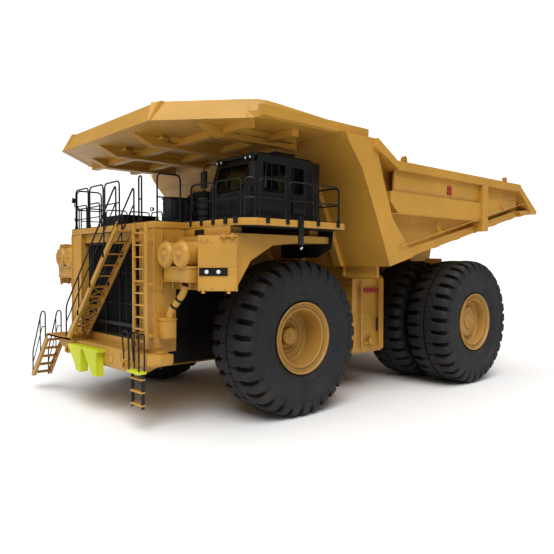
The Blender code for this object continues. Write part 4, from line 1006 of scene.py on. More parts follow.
@dataclass
class Wheel:
    """A wheel of welded plate: stepped flanges, a deep tube and a bolted disc with its hub."""

    steps: int = 72
    disc_bolts: tuple[tuple[float, int], ...] = ((0.60, 60), (0.46, 36))

    def bolts(self, shop: Workshop, x: float, rings: Iterable[tuple[float, int]], radius: float) -> Shape:
        """Rings of bolt heads on a face square to X, facing +X.

        Args:
            shop: What finishes and places pieces.
            x: Where the face is along the axle.
            rings: The radius and the number of bolts of each ring.
            radius: Its radius.

        Returns:
            The shape.
        """
        every = Shape()
        for ring, count in rings:
            head = stud((x, 0, ring), (1, 0, 0), radius, radius * 0.9)
            every.take(shop.repeater.around_x(head, count, shop.finishes["wheel"]))
        return every

    def build_front(self, shop: Workshop, side: Side) -> None:
        """A front wheel, with its hub cap deep inside.

        Args:
            shop: What finishes and places pieces.
            side: The side of the truck.
        """
        dish = [
            (0.10, 0.690), (0.02, 0.685), (-0.02, 0.660), (-0.03, 0.640), (-0.04, 0.330), (-0.02, 0.315),
            (0.0, 0.245), (0.12, 0.240), (0.15, 0.215), (0.155, 0.090), (0.175, 0.085), (0.178, 0.02)
        ]
        back = [
            (-0.44, 0.02), (-0.44, 0.34), (-0.20, 0.36), (-0.20, 0.70), (-0.54, 0.74), (-0.60, 0.80),
            (-0.657, 0.90), (-0.657, 0.925), (-0.60, 0.925), (-0.60, 0.80), (0.58, 0.80)
        ]
        profile = [*FLANGE, *dish, *back]
        shape = Shape().turned(profile, (0, 0, 0), (1, 0, 0), self.steps, hollow=True)
        shape.take(self.bolts(shop, -0.034, self.disc_bolts, 0.017))
        shape.take(self.bolts(shop, -0.036, ((0.355, 24),), 0.020))
        shape.take(self.bolts(shop, 0.152, ((0.185, 12),), 0.018))
        placed = Shape().take(shape, Matrix.Translation((3.267, 0, 0))).mirrored(side)
        placed = Shape().take(placed, Matrix.Translation((0, FRONT_Y, AXLE_Z)))
        shop.place(
            f"front_wheel_disc_{side.word}", placed, "wheel", f"front_wheel_{side.word}",
            replaces=(f"front_rim_{side.word}",), sharp=28
        )

    def build_rear(self, shop: Workshop, side: Side) -> None:
        """A pair of rear rims on one hub, with the final drive's bolted cover outside.

        Args:
            shop: What finishes and places pieces.
            side: The side of the truck.
        """
        dish = [
            (0.34, 0.700), (0.30, 0.670), (0.285, 0.640), (0.28, 0.520), (0.30, 0.505), (0.36, 0.495),
            (0.375, 0.475), (0.385, 0.260), (0.43, 0.240), (0.445, 0.215), (0.45, 0.090), (0.475, 0.085),
            (0.478, 0.02)
        ]
        back = [
            (-0.55, 0.02), (-0.55, 0.45), (-1.95, 0.45), (-1.95, 0.70), (-2.24, 0.74), (-2.30, 0.80),
            (-2.357, 0.90), (-2.357, 0.925), (-2.30, 0.925), (-2.30, 0.80), (-1.10, 0.80), (-1.10, 0.925),
            (-1.04, 0.925), (-1.02, 0.86), (-0.68, 0.86), (-0.66, 0.925), (-0.60, 0.925), (-0.60, 0.80),
            (0.58, 0.80)
        ]
        shape = Shape().turned([*FLANGE, *dish, *back], (0, 0, 0), (1, 0, 0), self.steps, hollow=True)
        shape.take(self.bolts(shop, 0.280, ((0.58, 60),), 0.016))
        shape.take(self.bolts(shop, 0.374, ((0.44, 32), (0.36, 16)), 0.018))
        shape.take(self.bolts(shop, 0.446, ((0.175, 10),), 0.016))
        placed = Shape().take(shape, Matrix.Translation((3.967, 0, 0))).mirrored(side)
        placed = Shape().take(placed, Matrix.Translation((0, REAR_Y, AXLE_Z)))
        shop.place(
            f"rear_wheel_discs_{side.word}", placed, "wheel", f"rear_wheels_{side.word}",
            replaces=(f"rear_hub_{side.word}",), sharp=28
        )


@dataclass
class RunningGear:
    """All six tyres and their wheels."""

    front_x: float = 3.267
    outer_x: float = 3.967
    inner_x: float = 2.267

    def build(self, shop: Workshop) -> None:
        """Builds both ends of both axles.

        Args:
            shop: What finishes and places pieces.
        """
        tyre, wheel = Tyre(), Wheel()
        for side in Side:
            sign, word = side.value, side.word
            tyre.build(
                shop, f"front_tyre_{word}", f"front_wheel_{word}", (sign * self.front_x, FRONT_Y, AXLE_Z)
            )
            tyre.build(
                shop, f"rear_tyre_{word}_outer", f"rear_wheels_{word}",
                (sign * self.outer_x, REAR_Y, AXLE_Z)
            )
            tyre.build(
                shop, f"rear_tyre_{word}_inner", f"rear_wheels_{word}",
                (sign * self.inner_x, REAR_Y, AXLE_Z)
            )
            wheel.build_front(shop, side)
            wheel.build_rear(shop, side)


def rounded(points: Sequence[Point], radius: float, steps: int = 4) -> list[Vector]:
    """A path with its inner corners rounded.

    Args:
        points: The path's corners.
        radius: How far from a corner its curve starts.
        steps: How many pieces each curve has.

    Returns:
        The path's points.
    """
    path = [Vector(p) for p in points]
    out = [path[0]]
    for before, corner, after in zip(path, path[1:], path[2:]):
        reach = min(radius, (corner - before).length / 2.1, (after - corner).length / 2.1)
        start = corner + (before - corner).normalized() * reach
        end = corner + (after - corner).normalized() * reach
        for i in range(steps + 1):
            t = i / steps
            out.append(start * (1 - t) ** 2 + corner * 2 * t * (1 - t) + end * t ** 2)
    return [*out, path[-1]]


@dataclass
class DeckRails:
    """Guard rails of bent tube: separate hoops, each with a knee rail, on bolted feet."""

    radius: float = 0.022
    bend: float = 0.14
    longest: float = 1.35
    gap: float = 0.05
    side_height: float = 0.87
    front_height: float = 1.13

    def hoop(self, shape: Shape, start: Point, end: Point, height: float) -> None:
        """One hoop between two points of the deck, with its knee rail and feet.

        Args:
            shape: The shape to work on.
            start: Where it starts.
            end: Where it ends.
            height: Its height.
        """
        a, b = Vector((*start, DECK_TOP)), Vector((*end, DECK_TOP))
        up = Vector((0, 0, height))
        shape.tube(rounded([a, a + up, b + up, b], self.bend, 5), self.radius, 8)
        for share in (0.5,):
            shape.bar(a + up * share, b + up * share, self.radius * 0.8, 8)
        for foot in (a, b):
            shape.box(
                (foot.x - 0.05, foot.y - 0.05, DECK_TOP), (foot.x + 0.05, foot.y + 0.05, DECK_TOP + 0.014)
            )
            shape.bar(foot + Vector((0, 0, 0.01)), foot + Vector((0, 0, 0.09)), self.radius * 1.5, 10)

    def run(self, points: Sequence[Point], height: float) -> Shape:
        """Hoops along a run of (x, y) corners.

        Args:
            points: The points that it runs through.
            height: Its height.

        Returns:
            The shape.
        """
        shape = Shape()
        for first, second in zip(points, points[1:]):
            a, b = Vector(first), Vector(second)
            count = max(1, math.ceil((b - a).length / self.longest))
            step = (b - a) / count
            inset = (b - a).normalized() * self.gap
            for i in range(count):
                self.hoop(shape, a + step * i + inset, a + step * (i + 1) - inset, height)
        return shape

    def brackets(self) -> Shape:
        """Black blocks that clamp the rails' posts to the deck's edge.

        Returns:
            The shape.
        """
        shape = Shape()
        front_y, side_x = -6.10, 4.72
        for x in (2.62, 3.06, 3.52, 3.98, 4.34):
            shape.box(
                (x - 0.045, front_y - 0.075, DECK_UNDER + 0.05),
                (x + 0.045, front_y - 0.015, DECK_TOP + 0.03)
            )
        for y in (-5.55, -4.95, -3.95, -3.25):
            shape.box(
                (side_x + 0.012, y - 0.045, DECK_UNDER + 0.05),
                (side_x + 0.05, y + 0.045, DECK_TOP + 0.03)
            )
        return shape.both_sides()

    def build(self, shop: Workshop) -> None:
        """Places every run of rails.

        Args:
            shop: What finishes and places pieces.
        """
        edge = 4.66
        side_run = [(2.46, -6.08), (edge - 0.22, -6.02), (edge, -5.78), (edge, -3.08), (2.95, -3.08)]
        for side in Side:
            shape = self.run(side_run, self.side_height).mirrored(side)
            shop.place(
                f"deck_rail_{side.word}", shape, "black", "root", replaces=(f"handrail_{side.word}",)
            )
        shape = self.run(
            [(0.54, TOWER_Y + 0.06), (-2.28, TOWER_Y + 0.06), (-2.28, -6.08)], self.front_height
        )
        shop.place("deck_rail_front", shape, "black", "root", replaces=("handrail_front",))
        gate = self.run([(2.30, -6.20), (2.30, TOWER_Y + 0.06)], self.front_height)
        gate.take(self.run([(1.46, TOWER_Y + 0.06), (1.70, TOWER_Y + 0.06)], self.front_height))
        shop.place("deck_rail_gate", gate, "black", "root", replaces=("handrail_gate",))
        shop.place("deck_edge_brackets", self.brackets(), "black", "root", bevel=0.006)


@dataclass
class Stairs:
    """The diagonal stairway, its landing, and the short flight that folds."""

    front: float = -7.54
    back: float = -7.0003
    plate: float = 0.022
    flange: float = 0.055
    depth: float = 0.24
    tread: float = 0.27

    def stringers(self, top: Point, run: float, drop: float) -> Shape:
        """Two channel-shaped stringers.

        Args:
            top: Its upper end.
            run: How far it runs level.
            drop: How far it falls.

        Returns:
            The shape.
        """
        x, z = top
        foot = z - drop - 0.03
        cut = x - run + self.depth
        outline = [(z, x), (z - drop, x - run), (foot, x - run), (foot, cut), (z - self.depth, x)]
        shape = Shape()
        for at, inward in ((self.front, 1), (self.back, -1)):
            shape.prism(Along.Y, outline, *sorted((at, at + inward * self.plate)))
            fall = Vector((-run, 0, -drop)).normalized()
            square = Vector((fall.z, 0, -fall.x))
            lip = square * (self.plate if square.z < 0 else -self.plate)
            y = (at, at + inward * self.flange)
            for start, end in (
                ((x, z), (x - run, z - drop)), ((x, z - self.depth + 0.022), (cut, foot + 0.022))
            ):
                a, b = Vector((start[0], 0, start[1])), Vector((end[0], 0, end[1]))
                ring = [(p.x, p.z) for p in (a, b, b + lip, a + lip)]
                shape.prism(Along.Y, [(zz, xx) for xx, zz in ring], *sorted(y))
        return shape

    def one_tread(self, at: Point) -> Shape:
        """One open tread: a frame of two angles and a row of slats across.

        Args:
            at: Where it stands.

        Returns:
            The shape.
        """
        x, z = at
        low, high = self.front + self.plate, self.back - self.plate
        shape = Shape()
        for edge in (-self.tread / 2, self.tread / 2 - 0.02):
            shape.box((x + edge, low, z - 0.02), (x + edge + 0.02, high, z + 0.02))
        for i in range(6):
            slat = x - self.tread / 2 + 0.04 + i * 0.038
            shape.box((slat, low, z - 0.012), (slat + 0.012, high, z + 0.016))
        for y in (low, (low + high) / 2, high - 0.012):
            shape.box((x - self.tread / 2, y, z - 0.018), (x + self.tread / 2, y + 0.012, z + 0.006))
        return shape

    def flight(self, shop: Workshop, top: Point, run: float, drop: float, count: int) -> Shape:
        """Stringers with their treads, from a top point down towards -X.

        Args:
            shop: What finishes and places pieces.
            top: Its upper end.
            run: How far it runs level.
            drop: How far it falls.
            count: How many treads it has.

        Returns:
            The shape.
        """
        shape = self.stringers(top, run, drop)
        first = (top[0] - run * 0.5 / count, top[1] - drop * 0.5 / count - 0.08)
        step = (-run / count, 0, -drop / count)
        return shape.take(
            shop.repeater.in_row(self.one_tread(first), count, step, shop.finishes["yellow"])
        )

    def lattice(self, top: Point, run: float, drop: float) -> Shape:
        """Crossed bars under the lower treads.

        Args:
            top: Its upper end.
            run: How far it runs level.
            drop: How far it falls.

        Returns:
            The shape.
        """
        shape = Shape()
        low, high, count = self.front + 0.05, self.back - 0.05, 7
        for i in range(count):
            a = Vector((top[0] - run * i / count, 0, top[1] - drop * i / count - 0.20))
            b = Vector((top[0] - run * (i + 1) / count, 0, top[1] - drop * (i + 1) / count - 0.20))
            shape.bar((a.x, low, a.z), (b.x, high, b.z), 0.014, 6)
            shape.bar((a.x, high, a.z), (b.x, low, b.z), 0.014, 6)
            shape.bar((a.x, low, a.z), (a.x, high, a.z), 0.016, 6)
        return shape

    def landing(self) -> Shape:
        """The landing plate with raised edges and its bolts.

        Returns:
            The shape.
        """
        low, high = (-2.95, self.front, 1.801), (-1.33, self.back, 1.86)
        shape = Shape().box(low, (high[0], high[1], 1.845))
        for y in (low[1], high[1] - 0.03):
            shape.box((low[0], y, 1.80), (high[0], y + 0.03, 1.86))
        for i in range(22):
            x = low[0] + 0.05 + i * 0.072
            shape.box((x, low[1] + 0.04, 1.84), (x + 0.02, high[1] - 0.04, 1.856))
        return shape

    def upper_rails(self) -> Shape:
        """Bent tube handrails on both sides of the long flight.

        Returns:
            The shape.
        """
        shape = Shape()
        bottom, top, height = (-1.60, 1.84), (1.43, 4.93), 0.90
        for y in (self.front + 0.03, self.back - 0.03):
            path = [
                (bottom[0], y, bottom[1]), (bottom[0], y, bottom[1] + height),
                (top[0], y, top[1] + height), (top[0], y, top[1] - 0.12),
            ]
            shape.tube(rounded(path, 0.16, 5), 0.021, 8)
            mid = [(bottom[0], y, bottom[1] + height / 2), (top[0], y, top[1] + height / 2)]
            shape.bar(mid[0], mid[1], 0.016, 8)
            for share in (0.27, 0.52, 0.77):
                x = -1.58 + 3.07 * share
                z = 1.86 + 3.07 * share
                shape.bar((x, y, z - 0.10), (x, y, z + height - 0.03), 0.018, 8)
                shape.box((x - 0.05, y - 0.03, z - 0.16), (x + 0.05, y + 0.03, z - 0.03))
        return shape

    def lower_rails(self) -> Shape:
        """Bent tube handrails of the folding flight.

        Returns:
            The shape.
        """
        shape = Shape()
        top = (-2.9803, 1.86)
        foot = (top[0] - 1.32, top[1] - 1.40)
        for y in (self.front + 0.03, self.back - 0.03):
            path = [
                (foot[0] + 0.06, y, foot[1] - 0.06), (foot[0] + 0.06, y, foot[1] + 0.72),
                (
                    top[0] - 0.50, y, top[1] + 0.62
                ), (top[0] - 0.20, y, top[1] + 0.62), (top[0] - 0.20, y, top[1] - 0.30),
            ]
            shape.tube(rounded(path, 0.12, 5), 0.020, 8)
            shape.bar((foot[0] + 0.06, y, foot[1] + 0.34), (top[0] - 0.45, y, top[1] + 0.16), 0.014, 8)
            shape.bar((top[0] - 0.45, y, top[1] + 0.16), (top[0] - 0.20, y, top[1] + 0.16), 0.014, 8)
            shape.bar((top[0] - 0.62, y, top[1] - 0.62), (top[0] - 0.62, y, top[1] + 0.50), 0.016, 8)
        return shape

    def build(self, shop: Workshop) -> None:
        """Places both flights with their rails.

        Args:
            shop: What finishes and places pieces.
        """
        upper = self.flight(shop, (1.49, 4.93), 3.07, 3.07, 11)
        upper.take(self.lattice((0.10, 3.50), 1.68, 1.68)).take(self.landing())
        shop.place("long_stair", upper, "yellow", "root", replaces=("upper_stairway",))
        shop.place("long_stair_rails", self.upper_rails(), "black", "root")
        lower = self.flight(shop, (-2.9803, 1.86), 1.32, 1.40, 5)
        lower.bar((-2.9803, self.front + 0.01, 1.83), (-2.9803, self.back - 0.01, 1.83), 0.03, 16)
        shop.place("folding_stair", lower, "yellow", "lower_stairway", replaces=("lower_stairway",))
        shop.place("folding_stair_rails", self.lower_rails(), "black", "lower_stairway")


@dataclass
class Ladders:
    """The upright ladder, and the step ladder below the bumper with its platform and grab hoops."""

    post: float = 0.035
    ladder_y: float = -7.20
    platform: tuple[float, float] = (1.98, 2.54)

    def upright(self, shop: Workshop) -> Shape:
        """Posts, gripping rungs and bolted stand-offs.

        Args:
            shop: What finishes and places pieces.

        Returns:
            The shape.
        """
        shape = Shape()
        y, half = self.ladder_y, self.post
        for x in (1.74, 2.32):
            shape.box((x - half, y - half, 1.92), (x + half, y + half, 4.87))
            for z in (2.22, 3.42, 4.48):
                shape.box((x - 0.03, y, z - 0.04), (x + 0.03, TOWER_Y, z + 0.04))
                shape.box((x - 0.07, TOWER_Y - 0.012, z - 0.08), (x + 0.07, TOWER_Y - 0.0003, z + 0.08))
        rung = Shape().box((1.74, y - 0.035, 2.055), (2.32, y + 0.035, 2.085))
        for i in range(9):
            rung.box((1.80 + i * 0.055, y - 0.03, 2.08), (1.82 + i * 0.055, y + 0.03, 2.094))
        return shape.take(shop.repeater.in_row(rung, 10, (0, 0, 0.285), shop.finishes["yellow"]))

    def build(self, shop: Workshop) -> None:
        """Places both ladders.

        Args:
            shop: What finishes and places pieces.
        """
        shop.place(
            "column_ladder", self.upright(shop), "yellow", "root", replaces=("front_ladder",), bevel=0.005
        )
        straps, rungs = Shape(), Shape()
        low, high = self.platform
        for x in (2.02, 2.50):
            straps.prism(
                Along.X, [(-7.44, 0.56), (-7.36, 0.56), (-7.36, 1.37), (-7.44, 1.37)], x - 0.012,
                x + 0.012
            )
            hoop = [(x, -7.50, 1.39), (x, -7.50, 2.29), (x, -7.36, 2.29), (x, -7.36, 1.39)]
            straps.tube(rounded(hoop, 0.06, 5), 0.018, 8)
        for x in (1.50, 1.98):
            hoop = [(x, -7.36, 1.60), (x, -7.40, 2.30), (x + 0.22, -7.36, 2.30), (x + 0.22, -7.34, 1.60)]
            straps.tube(rounded(hoop, 0.10, 5), 0.018, 8)
        for i, z in enumerate((0.64, 0.94, 1.24)):
            rungs.box((2.00, -7.46, z - 0.02), (2.52, -7.34, z + 0.02))
            for k in range(7):
                rungs.box((2.04 + k * 0.068, -7.45, z + 0.015), (2.06 + k * 0.068, -7.35, z + 0.03))
        shop.place("hanging_straps", straps, "black", "root", replaces=("hanging_ladder",))
        shop.place("hanging_rungs", rungs, "yellow", "root", bevel=0.006)
        plate = Shape().box((low, -7.53, 1.37), (high, -7.3203, 1.43))
        for i in range(8):
            plate.box((low + 0.04 + i * 0.065, -7.51, 1.425), (low + 0.06 + i * 0.065, -7.34, 1.44))
        shop.place("step_platform", plate, "lime", "root", bevel=0.006)


def facing(origin: Point, across: Point, out: Point) -> Matrix:
    """A matrix that lays X along a face, Y up and Z out of it.

    Args:
        origin: Its corner.
        across: The direction along the face.
        out: The direction out of the face.

    Returns:
        The matrix.
    """
    x, z = Vector(across).normalized(), Vector(out).normalized()
    y = z.cross(x)
    matrix = Matrix((x, y, z)).transposed().to_4x4()
    matrix.translation = Vector(origin)
    return matrix


def lamp_shapes(at: Point, aim: Point, radius: float, depth: float = 0.09) -> tuple[Shape, Shape]:
    """A round work lamp: its ribbed housing, and its lens.

    Args:
        at: Where it stands.
        aim: Where it points.
        radius: Its radius.
        depth: How deep its housing is.

    Returns:
        The housing and the lens.
    """
    housing, lens = Shape(), Shape()
    back = [
        (-depth, 0.3 * radius), (-depth, 0.75 * radius), (-0.4 * depth, radius), (0.012, radius * 1.08),
        (0.012, radius * 0.9), (-0.01, radius * 0.86)
    ]
    housing.turned(back, at, aim, 24)
    lens.turned(
        [(-0.008, radius * 0.85), (0.004, radius * 0.82), (0.012, radius * 0.55), (0.016, radius * 0.1)],
        at, aim, 24
    )
    return housing, lens


@dataclass
class HeadlightPanel:
    """The angled corner panel on each fender: a door with its lamp slot, hinges and handle."""

    corner: tuple[float, float] = (3.82, -6.78)
    end: tuple[float, float] = (4.45, -6.16)
    low: float = 3.304
    high: float = 4.534
    thick: float = 0.03
    slot: tuple[float, float, float, float] = (0.035, 0.665, 0.335, 0.515)

    def matrix(self) -> Matrix:
        """The panel's own frame, X along it and Z out of it.

        Returns:
            The panel's matrix.
        """
        along = Vector((self.end[0] - self.corner[0], self.end[1] - self.corner[1], 0))
        out = Vector((-along.y, along.x, 0)).normalized() * -1
        return facing((*self.corner, self.low), along, out)

    def door(self) -> Shape:
        """The plate round the lamp slot, with its edge flanges.

        Returns:
            The shape.
        """
        width = math.dist(self.corner, self.end)
        tall, t = self.high - self.low, self.thick
        x0, x1, y0, y1 = self.slot
        flat = Shape().box((0.012, 0.012, 0.001), (width - 0.02, y0, t))
        flat.box((0.012, y1, 0.001), (width - 0.02, tall - 0.012, t))
        flat.box((0.012, y0, 0.001), (x0, y1, t)).box((x1, y0, 0.001), (width - 0.02, y1, t))
        for low, high in (
            ((x0 - 0.012, y0 - 0.012), (x1 + 0.012, y0)), ((x0 - 0.012, y1), (x1 + 0.012, y1 + 0.012))
        ):
            flat.box((*low, t), (*high, t + 0.012))
        for x in (x0 - 0.012, x1):
            flat.box((x, y0, t), (x + 0.012, y1, t + 0.012))
        for x in (0.10, 0.66):
            flat.box((x, -0.05, 0.002), (x + 0.05, 0.03, t + 0.015))
            flat.bar((x - 0.02, -0.03, t), (x + 0.07, -0.03, t), 0.016, 10)
        return flat

    def trim(self) -> Shape:
        """Handle, hinge bracket and screws.

        Returns:
            The shape.
        """
        tall, t = self.high - self.low, self.thick
        shape = Shape().tube(
            rounded(
                [
                    (0.07, tall - 0.10, t), (0.07, tall - 0.10, t + 0.05), (0.23, tall - 0.10, t + 0.05),
                    (0.23, tall - 0.10, t)
                ],
                0.02, 3
            ),
            0.010, 8
        )
        shape.box((0.50, tall - 0.04, t), (0.86, tall - 0.015, t + 0.05))
        shape.box((0.56, tall - 0.07, t), (0.62, tall + 0.03, t + 0.07))
        shape.box((0.74, tall - 0.07, t), (0.80, tall + 0.03, t + 0.07))
        shape.bar((0.50, tall - 0.028, t + 0.05), (0.86, tall - 0.028, t + 0.05), 0.016, 10)
        for x in (0.05, 0.32, 0.60, 0.83):
            for y in (0.05, tall - 0.17):
                shape.take(stud((x, y, t), (0, 0, 1), 0.011, 0.009))
        return shape

    def build(self, shop: Workshop, side: Side) -> None:
        """Places the panel on one side.

        Args:
            shop: What finishes and places pieces.
            side: The side of the truck.
        """
        frame_of = self.matrix()
        x0, x1, y0, y1 = self.slot
        door = Shape().take(self.door(), frame_of).mirrored(side)
        shop.place(f"headlight_door_{side.word}", door, "yellow", "root", bevel=0.005)
        trim = Shape().take(self.trim(), frame_of).mirrored(side)
        shop.place(f"headlight_trim_{side.word}", trim, "yellow", "root")
        back = Shape().box((x0, y0, 0.001), (x1, y1, 0.006)).box((0.30, y0, 0.004), (0.34, y1, 0.018))
        lens = Shape()
        for x in (0.20, 0.46):
            housing, glass = lamp_shapes((x, (y0 + y1) / 2, 0.024), (0, 0, 1), 0.058, 0.02)
            back.take(housing)
            lens.take(glass)
        back = Shape().take(back, frame_of).mirrored(side)
        lens = Shape().take(lens, frame_of).mirrored(side)
        shop.place(f"headlight_slot_{side.word}", back, "black", "root")
        shop.place(f"headlight_lens_{side.word}", lens, "lamp", "root")


@dataclass
class AirIntake:
    """The pair of drums on each front fender, their box, the pipe below and its clamps."""

    drums_x: tuple[float, float] = (2.73, 3.38)
    drum_z: float = 4.114
    face_y: float = -7.00
    back_y: float = -6.4803

    def drum(self, x: float) -> Shape:
        """One drum with a pressed cover, a clamp band and a centre nut.

        Args:
            x: Its place across the truck.

        Returns:
            The shape.
        """
        profile = [
            (0.0, 0.05), (0.0, 0.285), (0.05, 0.285), (0.055, 0.300), (0.085, 0.300), (0.09, 0.285),
            (0.40, 0.285), (0.405, 0.308), (0.45, 0.308), (0.455, 0.290), (0.505, 0.275), (0.520, 0.245),
            (0.520, 0.165), (0.500, 0.150), (0.500, 0.085), (0.525, 0.075), (0.530, 0.03)
        ]
        shape = Shape().turned(profile, (x, self.back_y, self.drum_z), (0, -1, 0), 40)
        shape.take(stud((x, self.face_y - 0.008, self.drum_z), (0, -1, 0), 0.034, 0.05))
        for angle in range(0, 360, 45):
            spoke = Vector((math.cos(math.radians(angle)), 0, math.sin(math.radians(angle))))
            at = Vector((x, self.face_y, self.drum_z)) + spoke * 0.205
            shape.take(stud(at, (0, -1, 0), 0.010, 0.010))
        clip = Shape().box(
            (x - 0.025, self.back_y - 0.47, self.drum_z + 0.30),
            (x + 0.025, self.back_y - 0.39, self.drum_z + 0.335)
        )
        return shape.take(clip)

    def housing(self) -> Shape:
        """The box under the drums, with its lid's flange, ribs and screws.

        Returns:
            The shape.
        """
        low, high = (2.60, -6.90, 3.494), (3.66, -6.4803, 3.854)
        shape = Shape().box(low, high)
        shape.box((2.585, -6.915, 3.80), (3.675, -6.4803, 3.835))
        shape.box((2.585, -6.915, 3.494), (3.675, -6.4803, 3.52))
        for x in (2.66, 2.95, 3.31, 3.60):
            shape.take(stud((x, -6.90, 3.77), (0, -1, 0), 0.010, 0.010))
            shape.take(stud((x, -6.90, 3.55), (0, -1, 0), 0.010, 0.010))
        for x in (2.70, 3.05, 3.40):
            shape.bar((x, -6.70, 3.36), (x, -6.70, 3.50), 0.035, 14)
            shape.bar((x, -6.70, 3.33), (x, -6.70, 3.37), 0.045, 14)
        return shape

    def build(self, shop: Workshop, side: Side) -> None:
        """Places the intake on one side.

        Args:
            shop: What finishes and places pieces.
            side: The side of the truck.
        """
        shape = Shape().take(self.drum(self.drums_x[0]))
        shape.take(self.drum(self.drums_x[1]))
        shape.take(self.housing())
        name = f"air_cleaner_{side.word}"
        shop.place(
            f"intake_drums_{side.word}", shape.mirrored(side), "yellow", "root", bevel=0.004,
            replaces=(name,)
        )
        pipe = Shape().tube(
            rounded(
                [(3.16, -6.66, 3.42), (3.05, -6.66, 3.22), (2.62, -6.74, 2.78), (2.56, -6.74, 2.60)],
                0.10, 5
            ),
            0.085, 16
        )
        pipe.box((2.3603, -6.92, 2.16), (2.66, -6.60, 2.64))
        pipe.box((2.3603, -6.935, 2.58), (2.675, -6.585, 2.61))
        for z in (2.22, 2.52):
            pipe.take(stud((2.42, -6.92, z), (0, -1, 0), 0.012, 0.012))
            pipe.take(stud((2.60, -6.92, z), (0, -1, 0), 0.012, 0.012))
        shop.place(f"intake_pipe_{side.word}", pipe.mirrored(side), "yellow", "root", bevel=0.005)
        clamps = Shape()
        for share in (0.25, 0.62):
            at = Vector((3.05, -6.66, 3.22)).lerp(Vector((2.62, -6.74, 2.78)), share)
            clamps.bar(at, at + Vector((-0.043, -0.008, -0.044)), 0.094, 20)
        shop.place(f"intake_clamps_{side.word}", clamps.mirrored(side), "black", "root")


